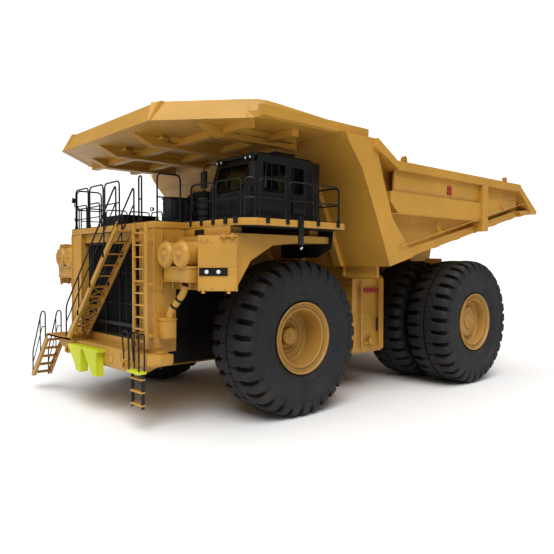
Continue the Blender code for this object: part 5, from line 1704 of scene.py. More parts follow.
@dataclass
class FrontFace:
    """The guard columns, the radiator's grille, the bumper's fittings and the deck's yellow edge."""

    inner: float = 1.70
    outer: float = 2.36

    def grille(self, shop: Workshop) -> None:
        """Fins in a frame, with a cross beam and guard bars, in front of the radiator.

        Args:
            shop: What finishes and places pieces.
        """
        fins = Shape().box((-1.66, -6.79, 2.05), (-1.65, -6.752, 4.45))
        fins = shop.repeater.in_row(fins, 84, (0.0398, 0, 0), shop.finishes["core"])
        for z in (2.05, 2.85, 3.65, 4.43):
            fins.box((-1.68, -6.80, z), (1.68, -6.75, z + 0.035))
        for x in (-1.69, -0.56, 0.54, 1.66):
            fins.box((x, -6.80, 2.02), (x + 0.03, -6.75, 4.48))
        shop.place("radiator_fins", fins, "core", "root")
        guard = Shape().box((-1.699, -6.93, 2.30), (1.699, -6.86, 2.40))
        for x in (-1.20, -0.40, 0.40, 1.20):
            guard.box((x - 0.02, -6.90, 2.02), (x + 0.02, -6.86, 4.47))
        for z in (2.02, 4.44):
            guard.box((-1.699, -6.90, z), (1.699, -6.86, z + 0.03))
        shop.place("radiator_bars", guard, "core", "root", bevel=0.004)

    def columns(self, shop: Workshop) -> None:
        """Lips, seams, bolts and handles of the two guard columns, and black sheets that are painted shade
        in the engine bay and under the deck's rear edge.

        Args:
            shop: What finishes and places pieces.
        """
        shape = Shape()
        for x in (self.inner - 0.012, self.outer - 0.03):
            shape.box((x, TOWER_Y - 0.03, 1.86), (x + 0.042, TOWER_Y - 0.0003, 4.745))
        shape.box((self.outer, -6.84, 3.25), (self.outer + 0.05, -6.81, 4.70))
        shape.box((self.outer, -6.98, 1.90), (self.outer + 0.012, -6.80, 1.96))
        shape.box((self.outer, -6.98, 3.27), (self.outer + 0.012, -6.80, 3.30))
        for z in (2.05, 2.75, 3.45, 4.15, 4.62):
            shape.take(stud((self.inner + 0.06, TOWER_Y, z), (0, -1, 0), 0.016, 0.014))
            shape.take(stud((self.outer - 0.08, TOWER_Y, z), (0, -1, 0), 0.016, 0.014))
            shape.take(stud((self.outer, -6.94, z), (1, 0, 0), 0.014, 0.012))
            shape.take(stud((self.outer, -6.86, z), (1, 0, 0), 0.014, 0.012))
        shop.place("column_lips", shape.both_sides(), "yellow", "root", bevel=0.004)
        # Painted shade: black sheets, with louvres, close the engine bay's sides behind the columns, where
        # there is only shade.
        shade_sheets = Shape().box((1.14, -6.38, 2.20), (1.18, -4.12, 4.70))
        shade_sheets.box((1.14, -6.38, 1.26), (1.18, -4.40, 2.22))
        shade_sheets.box((1.18, -6.38, 3.00), (1.20, -4.12, 3.03))
        for i in range(14):
            y = -6.30 + i * 0.155
            shade_sheets.box((1.18, y, 3.30), (1.195, y + 0.10, 3.36))
            shade_sheets.box((1.18, y, 3.50), (1.195, y + 0.10, 3.56))
            shade_sheets.box((1.18, y, 3.70), (1.195, y + 0.10, 3.76))
        shade_sheets.box((1.18, -6.418, 1.26), (1.66, -6.385, 3.25))
        # Painted shade: a black sheet with a slanted lower edge hangs under the deck's rear edge, where
        # there is only shade.
        shade_sheet_outline = [(4.745, 2.40), (4.745, 4.36), (4.30, 4.30), (4.07, 3.80), (4.07, 2.40)]
        shade_sheets.prism(Along.Y, shade_sheet_outline, -3.02, -2.99)
        shop.place("engine_bay_shade_sheets", shade_sheets.both_sides(), "core", "root", bevel=0.004)

    def deck_edge(self, shop: Workshop) -> None:
        """The yellow strip round the deck, the panel below it with its vent, and hanging lamps.

        Args:
            shop: What finishes and places pieces.
        """
        low, high, t = DECK_UNDER + 0.004, DECK_TOP - 0.015, 0.012
        shape = Shape()
        line = [(0.30, -7.0), (2.36, -7.0), (2.36, -6.16), (4.48, -6.10), (4.72, -5.85), (4.72, -3.0)]
        for (ax, ay), (bx, by) in zip(line, line[1:]):
            along = Vector((bx - ax, by - ay, 0)).normalized()
            out = Vector((along.y, -along.x, 0)) * t
            grow = along * t * 0.5
            a, b = Vector((ax, ay, 0)) - grow, Vector((bx, by, 0)) + grow
            ring = [(p.x, p.y) for p in (a, b, b + out, a + out)]
            shape.prism(Along.Z, ring, low, high)
        shape.box((2.3603, -6.155, 4.5345), (4.15, -6.125, 4.7497))
        for x in (2.50, 3.55, 4.05):
            shape.take(stud((x, -6.155, 4.64), (0, -1, 0), 0.012, 0.01))
        full = shape.both_sides()
        full.box((-0.32, -7.012, low), (0.32, -7.0, high))
        shop.place("deck_edge", full, "yellow", "root", bevel=0.003)
        vent = Shape().box((2.82, -6.175, 4.575), (3.16, -6.155, 4.715))
        for i in range(5):
            vent.box((2.80, -6.19, 4.585 + i * 0.026), (3.18, -6.165, 4.595 + i * 0.026))
        vent.box((4.735, -4.62, 4.34), (4.775, -4.46, 5.00)).box((4.72, -4.58, 4.78), (4.80, -4.50, 4.88))
        shop.place("edge_vents", vent.both_sides(), "black", "root", bevel=0.003)
        lens = Shape()
        housing = Shape()
        for at, aim in (((4.77, -4.54, 4.27), (0.8, 0, -0.6)), ((2.20, -6.98, 5.20), (0.2, -1, -0.1))):
            body, glass = lamp_shapes(at, aim, 0.05, 0.05)
            housing.take(body)
            lens.take(glass)
        housing, lens = housing.both_sides(), lens.both_sides()
        corner, glass = lamp_shapes((-4.50, -6.10, 6.02), (-0.25, -1, 0.05), 0.085, 0.10)
        housing.take(corner).bar((-4.50, -6.02, 5.80), (-4.50, -6.04, 5.95), 0.016, 8)
        lens.take(glass)
        shop.place("work_lamps", housing, "black", "root")
        shop.place("work_lamp_lenses", lens, "lamp", "root")

    def beam(self) -> Shape:
        """The bumper's beam, bevelled underneath and tapering up towards both ends.

        Returns:
            The shape.
        """
        rows = (
            (0.0, -7.32, 1.36, 1.25), (1.75, -7.32, 1.36, 1.25), (2.15, -7.32, 1.50, 1.42),
            (2.55, -7.32, 1.56, 1.50), (2.78, -7.10, 1.60, 1.56)
        )
        rows = [(-x, *rest) for x, *rest in rows[:0:-1]] + [tuple(row) for row in rows]
        rings = []
        for x, y, knee, low in rows:
            ring = [
                (y, 1.80), (y, knee), (y + 0.09, low), (-6.79, low), (-6.75, low + 0.04), (-6.75, 1.80)
            ]
            rings.append([(x, *point) for point in ring])
        shape = Shape().loft(rings)
        for x in (-1.675, 1.675):
            for dx in (-0.10, 0.06):
                shape.box((x + dx, -7.46, 1.42), (x + dx + 0.04, -7.30, 1.58))
        return shape

    def bumper(self, shop: Workshop) -> None:
        """Tread plates, bolts, sockets and step boxes on the bumper.

        Args:
            shop: What finishes and places pieces.
        """
        shape = Shape()
        plate = Shape().box((-1.28, -7.28, 1.80), (-1.22, -7.03, 1.806))
        shape.take(shop.repeater.in_row(plate, 25, (0.105, 0, 0), shop.finishes["yellow"]))
        for x in (0.72, 1.16):
            shape.box((x - 0.14, -7.335, 1.40), (x + 0.14, -7.3203, 1.68))
            for dx in (-0.1, 0.1):
                for z in (1.45, 1.63):
                    shape.take(stud((x + dx, -7.335, z), (0, -1, 0), 0.018, 0.016))
        ring = [(-0.03, 0.055), (-0.03, 0.10), (0.03, 0.10), (0.03, 0.055)]
        for x in (-1.675, 1.675):
            shape.turned(ring, (x, -7.43, 1.50), (1, 0, 0), 20, hollow=True)
        for x in (-2.35, 2.35):
            shape.box((x - 0.26, -7.02, 1.80), (x + 0.26, -6.80, 1.845))
        shop.place("bumper_beam", self.beam(), "yellow", "root", bevel=0.012, replaces=("front_bumper",))
        shop.place("bumper_fittings", shape, "yellow", "root", bevel=0.004)
        chocks = Shape()
        for x in (-1.46, -0.52):
            for i in range(4):
                chocks.box((x + 0.06 + i * 0.19, -7.534, 1.585), (x + 0.14 + i * 0.19, -7.33, 1.712))
            chocks.bar((x + 0.70, -7.536, 1.20), (x + 0.70, -7.529, 1.20), 0.05, 16)
        shop.place("chock_ribs", chocks, "lime", "root", bevel=0.006)

    def build(self, shop: Workshop) -> None:
        """Places every piece of the front.

        Args:
            shop: What finishes and places pieces.
        """
        self.grille(shop)
        self.columns(shop)
        self.deck_edge(shop)
        self.bumper(shop)
        for side in Side:
            HeadlightPanel().build(shop, side)
            AirIntake().build(shop, side)


@dataclass
class Cushion:
    """A padded seat piece: a crowned, closed pad with pulled-in sides, sewn channels and a welt."""

    half: tuple[float, float]
    top: float
    under: float
    channels: tuple[float, ...] = (-0.42, 0.42)
    steps: int = 44

    def outline(self, u: float, v: float) -> tuple[float, float]:
        """Where a point of the square from -1 to 1 lies on the pad, seen from above.

        Args:
            u: Place across the pad, from -1 to 1.
            v: Place along the pad, from -1 to 1.

        Returns:
            The point's place, across and along.
        """
        across = u * math.sqrt(1 - 0.20 * v * v) * (1 - 0.03 * (1 - v * v))
        along = v * math.sqrt(1 - 0.20 * u * u) * (1 - 0.03 * (1 - u * u))
        return across * self.half[0] * 1.08, along * self.half[1] * 1.08

    def height(self, u: float, v: float) -> float:
        """How far the crowned face stands above the welt.

        Args:
            u: Place across the pad, from -1 to 1.
            v: Place along the pad, from -1 to 1.

        Returns:
            A share of the pad's height.
        """
        crown = ((1 - u ** 6) * (1 - v ** 6)) ** 0.42 * (0.84 + 0.16 * (1 - u * u) * (1 - v * v))
        sewn = sum(math.exp(-(((u - at) / 0.035) ** 2)) for at in self.channels)
        sewn += math.exp(-(((v - 0.05) / 0.035) ** 2)) * 0.7
        return max(crown * (1 - 0.16 * sewn), 0.0)

    def pad(self) -> Shape:
        """The closed pad.

        Returns:
            The shape.
        """
        shape, n = Shape(), self.steps
        rows: dict[tuple[int, int, int], bmesh.types.BMVert] = {}
        for i in range(n + 1):
            for j in range(n + 1):
                u, v = 2 * i / n - 1, 2 * j / n - 1
                x, y = self.outline(u, v)
                rise = self.height(u, v)
                rows[i, j, 0] = shape.mesh.verts.new((x, y, rise * self.top))
                rim = i in (0, n) or j in (0, n)
                flat = min(1.0, rise * 1.6)
                rows[i, j, 1] = rows[i, j, 0] if rim else shape.mesh.verts.new((x, y, -flat * self.under))
        for i in range(n):
            for j in range(n):
                for face in (0, 1):
                    ring = [
                        rows[i, j, face], rows[i + 1, j, face], rows[i + 1, j + 1, face],
                        rows[i, j + 1, face]
                    ]
                    shape.mesh.faces.new(ring if face == 0 else ring[::-1])
        return shape

    def welt(self) -> Shape:
        """The piping sewn round the pad's edge.

        Returns:
            The shape.
        """
        n = self.steps
        side = [2 * i / n - 1 for i in range(n)]
        walk = [(u, -1.0) for u in side] + [(1.0, v) for v in side] + [(-u, 1.0) for u in side] + [
            (-1.0, -v) for v in side
        ]
        points = [Vector((*self.outline(u, v), 0.0)) for u, v in walk]
        shape = Shape()
        rings = []
        for i, point in enumerate(points):
            along = points[(i + 1) % len(points)] - points[i - 1]
            rings.append(circle(point, along, 0.006, 6))
        return shape.loft(rings, ring_closed=True)


@dataclass
class Seat:
    """The driver's seat: padded cushion, back and headrest on a boxed pedestal."""

    middle_x: float = 3.20
    front: float = -4.52
    back: float = -4.12
    squab_z: float = 5.40

    def pads(self, shop: Workshop) -> None:
        """The three padded pieces.

        Args:
            shop: What finishes and places pieces.
        """
        middle_y = (self.front + self.back) / 2
        flat = Matrix.Translation((self.middle_x, middle_y, self.squab_z + 0.04))
        upright = facing((self.middle_x, -4.075, 5.735), (1, 0, 0), (0, -1, 0.06))
        head = facing((self.middle_x, -4.055, 6.055), (1, 0, 0), (0, -1, 0.06))
        rows = (
            ("seat_cushion", Cushion((0.232, 0.195), 0.085, 0.05), flat),
            ("seat_back", Cushion((0.225, 0.235), 0.055, 0.045), upright),
            ("seat_headrest", Cushion((0.13, 0.065), 0.045, 0.035, channels=(), steps=24), head),
        )
        for name, cushion, place in rows:
            shape = Shape().take(cushion.pad(), place)
            pad = shop.place(name, shape, "cloth", "root", replaces=("operator_seat",), sharp=70.0)
            welt = Shape().take(cushion.welt(), place)
            shop.place(f"{name}_welt", welt, "black", "root")

    def build(self, shop: Workshop) -> None:
        """Places the pads, the pedestal, the armrests and the belt's buckles.

        Args:
            shop: What finishes and places pieces.
        """
        self.pads(shop)
        x = self.middle_x
        base = Shape().box((x - 0.17, -4.48, 5.012), (x + 0.17, -4.12, 5.05))
        base.box((x - 0.20, -4.50, 5.33), (x + 0.20, -4.10, 5.37))
        for i in range(6):
            grow = 0.012 if i % 2 else 0.0
            base.box(
                (x - 0.14 - grow, -4.44 - grow, 5.05 + i * 0.0467),
                (x + 0.14 + grow, -4.16 + grow, 5.0967 + i * 0.0467)
            )
        base.box((x - 0.18, -4.02, 5.40), (x + 0.18, -3.985, 5.98))
        base.bar((x - 0.06, -4.03, 5.95), (x - 0.06, -4.03, 6.06), 0.01, 10)
        base.bar((x + 0.06, -4.03, 5.95), (x + 0.06, -4.03, 6.06), 0.01, 10)
        for side in (-1, 1):
            arm = rounded([(x + side * 0.245, -4.06, 5.60), (x + side * 0.245, -4.40, 5.66)], 0.02, 3)
            base.tube(arm, 0.020, 10)
        shop.place("seat_base", base, "black", "root", bevel=0.005, replaces=("operator_seat",))


@dataclass
class Cab:
    """The cab's trim: window gaskets and bars, wipers, mirrors, roof, vents and the dashboard's fittings."""

    low_x: float = 2.40
    high_x: float = 4.00
    front: float = -5.46
    rear: float = -3.48
    sill: float = 5.63
    top: float = 6.52
    lean: float = 0.30

    def screen_y(self, z: float) -> float:
        """The leaning front wall's place at a height."""
        return self.front + self.lean * max(0.0, z - self.sill) / (self.top - self.sill)

    def gaskets(self) -> Shape:
        """Rubber seals round the fixed windows, and the bars across the side window.

        Returns:
            The shape.
        """
        shape = Shape()
        loops = [
            [
                (x, self.screen_y(z) - 0.002, z) for x,
                z in ((2.545, 5.665), (3.855, 5.665), (3.855, 6.30), (2.545, 6.30))
            ],
            [(4.004, y, z) for y, z in ((-5.03, 5.66), (-4.33, 5.66), (-4.33, 6.31), (-4.93, 6.31))],
            [(2.396, y, z) for y, z in ((-4.95, 5.66), (-3.63, 5.66), (-3.63, 6.31), (-4.95, 6.31))],
            [(x, -3.476, z) for x, z in ((2.56, 5.66), (3.84, 5.66), (3.84, 6.31), (2.56, 6.31))],
        ]
        for loop in loops:
            bent = rounded([*loop, loop[0]], 0.05, 4)
            shape.tube([*bent, bent[1]], 0.014, 8)
        for y in (-4.80, -4.56):
            shape.box((3.985, y, 5.66), (4.004, y + 0.02, 6.31))
        shape.box((3.985, -5.03, 5.97), (4.004, -4.33, 5.985))
        return shape

    def wipers(self) -> Shape:
        """Two wiper arms with blades on the windscreen.

        Returns:
            The shape.
        """
        shape = Shape()
        for foot, tip in ((2.80, 3.05), (3.45, 3.70)):
            low = Vector((foot, self.screen_y(5.60) - 0.02, 5.60))
            high = Vector((tip, self.screen_y(6.02) - 0.025, 6.02))
            shape.bar(low + Vector((0, 0.02, 0)), low - Vector((0, 0.02, 0)), 0.022, 12)
            shape.bar(low, high, 0.008, 8)
            start = Vector((tip - 0.02, self.screen_y(5.78) - 0.012, 5.78))
            end = Vector((tip + 0.03, self.screen_y(6.25) - 0.012, 6.25))
            shape.bar(start, end, 0.009, 6).bar(high, start.lerp(end, 0.5), 0.008, 6)
        return shape

    def mirrors(self) -> tuple[Shape, Shape]:
        """Mirror heads on bent arms at the front corners, and their glass.

        Returns:
            The frames and the glass.
        """
        shape, glass = Shape(), Shape()
        for x, out in ((self.high_x, 1), (self.low_x, -1)):
            arm = rounded(
                [
                    (x - out * 0.02, -5.20, 6.42), (x + out * 0.16, -5.42, 6.42),
                    (x + out * 0.16, -5.50, 6.30), (x + out * 0.16, -5.50, 5.70),
                    (x - out * 0.02, -5.40, 5.60)
                ],
                0.05, 4
            )
            shape.tube(arm, 0.014, 8)
            shape.box((x + out * 0.06, -5.53, 5.82), (x + out * 0.27, -5.475, 6.24))
            shape.box((x + out * 0.07, -5.545, 5.85), (x + out * 0.26, -5.53, 6.21))
            glass.box((x + out * 0.075, -5.475, 5.84), (x + out * 0.255, -5.470, 6.22))
        return shape, glass

    def roof(self) -> Shape:
        """The roof's rim, pressed ribs, cooler box and beacon post.

        Returns:
            The shape.
        """
        x0, x1 = self.low_x - 0.03, self.high_x + 0.03
        y0, y1 = self.front + self.lean - 0.10, self.rear + 0.02
        shape = Shape().box((x0, y0, 6.455), (x1, y1, 6.50))
        shape.box((x0 + 0.03, y0 + 0.03, 6.50), (x1 - 0.03, y1 - 0.03, 6.535))
        for i in range(6):
            shape.box((x0 + 0.15, y0 + 0.20 + i * 0.25, 6.535), (x1 - 0.15, y0 + 0.26 + i * 0.25, 6.55))
        shape.box((2.75, -4.35, 6.535), (3.65, -3.70, 6.70)).box((2.72, -4.38, 6.66), (3.68, -3.67, 6.68))
        for x in (2.55, 2.72, 3.68, 3.85):
            shape.box((x - 0.055, y0 - 0.06, 6.375), (x + 0.055, y0 + 0.02, 6.455))
        return shape

    def walls(self) -> Shape:
        """Seams, louvres, ribs, rails and covers on the lower walls, and the rear closet.

        Returns:
            The shape.
        """
        shape = Shape()
        for z in (5.10, 5.56):
            shape.box((self.low_x, self.front - 0.008, z), (self.high_x, self.front, z + 0.02))
            shape.box((self.high_x, self.front, z), (self.high_x + 0.008, -4.24, z + 0.02))
        for i in range(5):
            shape.box((2.62, self.front - 0.014, 5.24 + i * 0.04), (3.10, self.front, 5.262 + i * 0.04))
            shape.box((3.24, self.front - 0.014, 5.24 + i * 0.04), (3.72, self.front, 5.262 + i * 0.04))
        shape.box((4.0003, -5.30, 5.16), (4.012, -4.40, 5.50))
        shape.box((4.012, -5.26, 5.20), (4.020, -4.44, 5.46))
        for y in (-5.28, -4.86, -4.42):
            shape.take(stud((4.012, y, 5.18), (1, 0, 0), 0.010, 0.01))
            shape.take(stud((4.012, y, 5.48), (1, 0, 0), 0.010, 0.01))
        closet = (3.18, -3.4797, 4.932), (3.96, -3.10, 6.48)
        shape.box(*closet)
        shape.box((3.96, -3.44, 5.02), (3.972, -3.14, 5.70))
        shape.box((3.96, -3.44, 5.76), (3.972, -3.14, 6.42))
        for i in range(9):
            shape.box((3.972, -3.41, 5.12 + i * 0.055), (3.985, -3.17, 5.145 + i * 0.055))
            shape.box((3.972, -3.41, 5.84 + i * 0.055), (3.985, -3.17, 5.865 + i * 0.055))
        shape.tube(
            rounded(
                [(3.97, -3.47, 5.10), (4.06, -3.47, 5.10), (4.06, -3.47, 6.20), (3.97, -3.47, 6.20)],
                0.04, 4
            ),
            0.014, 8
        )
        shape.box((2.30, -4.90, 5.06), (2.3997, -3.80, 5.42))
        shape.bar((2.35, -4.80, 5.42), (2.35, -4.80, 6.45), 0.05, 14)
        for x in (2.50, 3.90):
            shape.box((x - 0.04, self.front - 0.06, 4.932), (x + 0.04, self.front, 5.04))
        return shape

    def door(self) -> Shape:
        """The door's gasket, handle, hinges and edge, which swing with it.

        Returns:
            The shape.
        """
        loop = [(4.034, y, z) for y, z in ((-4.09, 5.65), (-3.73, 5.65), (-3.73, 6.27), (-4.09, 6.27))]
        bent = rounded([*loop, loop[0]], 0.05, 4)
        shape = Shape().tube([*bent, bent[1]], 0.012, 8)
        shape.tube(
            rounded(
                [(4.03, -4.15, 5.36), (4.075, -4.15, 5.36), (4.075, -4.15, 5.62), (4.03, -4.15, 5.62)],
                0.015, 3
            ),
            0.009, 8
        )
        shape.box((4.0303, -4.19, 5.40), (4.045, -4.11, 5.58))
        shape.box((4.0303, -4.12, 5.12), (4.038, -3.66, 5.50))
        shape.box((4.038, -4.06, 5.16), (4.043, -3.72, 5.46))
        return shape

    def dashboard(self) -> tuple[Shape, Shape]:
        """The wheel, its column, a hooded screen, levers and pedals, and the pale dials.

        Returns:
            The fittings and the dials.
        """
        shape, dials = Shape(), Shape()
        centre, tilt = Vector((3.20, -4.86, 5.80)), Vector((0, 0.55, 1.0)).normalized()
        across, up = Vector((1, 0, 0)), tilt.cross(Vector((1, 0, 0)))
        ring = [
            centre + (across * math.cos(a) + up * math.sin(a)) * 0.185
            for a in (i * math.tau / 32 for i in range(33))
        ]
        shape.tube([*ring, ring[1]], 0.014, 10)
        for angle in (0.5, math.pi - 0.5, 1.5 * math.pi):
            shape.bar(centre, centre + (across * math.cos(angle) + up * math.sin(angle)) * 0.18, 0.012, 8)
        shape.bar(centre + tilt * 0.02, centre - tilt * 0.03, 0.05, 18)
        shape.bar(centre, centre - tilt * 0.24 + Vector((0, -0.05, 0)), 0.028, 12)
        shape.box((3.55, -4.92, 5.60), (3.80, -4.86, 5.80)).box((3.56, -4.70, 5.30), (3.72, -4.10, 5.42))
        for x in (3.60, 3.66):
            shape.bar((x, -4.45, 5.42), (x, -4.48, 5.56), 0.008, 8)
            shape.bar((x, -4.48, 5.55), (x, -4.485, 5.60), 0.018, 12)
        dials.box((3.565, -4.858, 5.615), (3.785, -4.855, 5.785))
        for x in (2.98, 3.20, 3.42):
            dials.bar((x, -5.00, 5.815), (x, -4.995, 5.818), 0.035, 18)
        return shape, dials

    def build(self, shop: Workshop) -> None:
        """Places every piece of the cab.

        Args:
            shop: What finishes and places pieces.
        """
        shop.place("window_gaskets", self.gaskets(), "black", "root")
        shop.place("wipers", self.wipers(), "black", "root")
        mirrors, glass = self.mirrors()
        shop.place("mirrors", mirrors, "black", "root", bevel=0.006)
        shop.place("mirror_glass", glass, "steel", "root")
        shop.place("cab_roof", self.roof(), "cab", "root", bevel=0.006)
        shop.place("cab_walls", self.walls(), "cab", "root", bevel=0.005)
        shop.place("door_trim", self.door(), "black", "cab_door", bevel=0.003)
        fittings, dials = self.dashboard()
        shop.place("dashboard_fittings", fittings, "black", "root", bevel=0.003)
        shop.place("dashboard_dials", dials, "grey", "root")
        housing, lens = Shape(), Shape()
        for x in (2.55, 2.72, 3.68, 3.85):
            body, pane = lamp_shapes((x, -5.325, 6.415), (0, -1, -0.1), 0.042, 0.04)
            housing.take(body)
            lens.take(pane)
        shop.place("roof_lamps", housing, "black", "root")
        shop.place("roof_lamp_lenses", lens, "lamp", "root")
        Seat().build(shop)


@dataclass
class DeckGear:
    """What stands on the deck beside the cab: the cabinet, the ribbed drum, cleats and grit strips."""

    def cabinet(self) -> Shape:
        """The cabinet's sloped lid, doors, louvres and latches.

        Returns:
            The shape.
        """
        shape = Shape().box((1.30, -6.17, 5.56), (1.77, -5.38, 5.60))
        for y in (-6.11, -5.76):
            shape.box((1.75, y, 5.00), (1.762, y + 0.31, 5.52))
            for i in range(7):
                shape.box((1.762, y + 0.04, 5.10 + i * 0.045), (1.774, y + 0.27, 5.122 + i * 0.045))
        shape.box((1.35, -6.162, 5.00), (1.72, -6.15, 5.52))
        shape.box((1.68, -6.175, 5.22), (1.70, -6.162, 5.32))
        for z in (5.08, 5.44):
            shape.bar((1.355, -6.165, z - 0.03), (1.355, -6.165, z + 0.03), 0.010, 8)
        return shape

    def drum(self) -> Shape:
        """The drum's pressed ribs, its lid, its bolted flange and two pipes.

        Returns:
            The shape.
        """
        centre = Vector((1.98, -5.32, 0))
        rings = [(0.0, 0.30), (0.0, 0.335), (0.03, 0.335), (0.03, 0.31)]
        shape = Shape()
        for z in (4.931, 5.12, 5.30, 5.48, 5.64):
            shape.turned(
                [(a, r) for a, r in rings], centre + Vector((0, 0, z)), (0, 0, 1), 36, hollow=True
            )
        shape.turned(
            [(0.0, 0.29), (0.03, 0.29), (0.055, 0.22), (0.06, 0.08), (0.09, 0.07), (0.09, 0.01)],
            centre + Vector((0, 0, 5.70)), (0, 0, 1), 36
        )
        for i in range(16):
            a = i * math.tau / 16
            at = centre + Vector((0.32 * math.cos(a), 0.32 * math.sin(a), 5.67))
            shape.take(stud(at, (0, 0, 1), 0.012, 0.012))
        shape.tube(
            rounded(
                [
                    (2.05, -5.60, 4.935), (2.05, -5.72, 5.25), (2.05, -5.72, 5.62), (1.85, -5.72, 5.62),
                    (1.85, -5.62, 5.50)
                ],
                0.08, 5
            ),
            0.045, 12
        )
        shape.tube(
            rounded([(1.72, -5.20, 4.935), (1.60, -5.20, 5.30), (1.72, -5.20, 5.45)], 0.08, 5), 0.035, 12
        )
        return shape

    def build(self, shop: Workshop) -> None:
        """Places the deck's gear.

        Args:
            shop: What finishes and places pieces.
        """
        shop.place("deck_cabinet_trim", self.cabinet(), "grey", "root", bevel=0.003)
        shop.place("deck_drum_trim", self.drum(), "black", "root")
        cleat = Shape().box((-4.30, -5.98, 4.9302), (-4.05, -5.96, 4.936))
        grit = shop.repeater.in_row(cleat, 24, (0.0, 0.12, 0), shop.finishes["deck"])
        more = Shape().box((4.20, -5.60, 4.9302), (4.50, -5.58, 4.936))
        grit.take(shop.repeater.in_row(more, 20, (0.0, 0.12, 0), shop.finishes["deck"]))
        front = Shape().box((-0.95, -6.92, 4.9302), (-0.93, -6.30, 4.936))
        grit.take(shop.repeater.in_row(front, 26, (0.12, 0, 0), shop.finishes["deck"]))
        shop.place("deck_grit_strips", grit, "deck", "root")
        boxes = Shape().box((-2.90, -5.70, 4.932), (-1.70, -4.60, 5.38))
        boxes.box((-2.93, -5.73, 5.35), (-1.67, -4.57, 5.40))
        for i in range(9):
            boxes.box((-2.80 + i * 0.115, -5.712, 5.05), (-2.75 + i * 0.115, -5.70, 5.28))
        boxes.box((-4.10, -4.60, 4.932), (-3.30, -3.60, 5.35))
        boxes.box((-4.13, -4.63, 5.32), (-3.27, -3.57, 5.36))
        for x in (-3.95, -3.45):
            boxes.box((x - 0.04, -4.645, 5.20), (x + 0.04, -4.63, 5.32))
        shop.place("deck_far_boxes", boxes, "grey", "root", bevel=0.008)


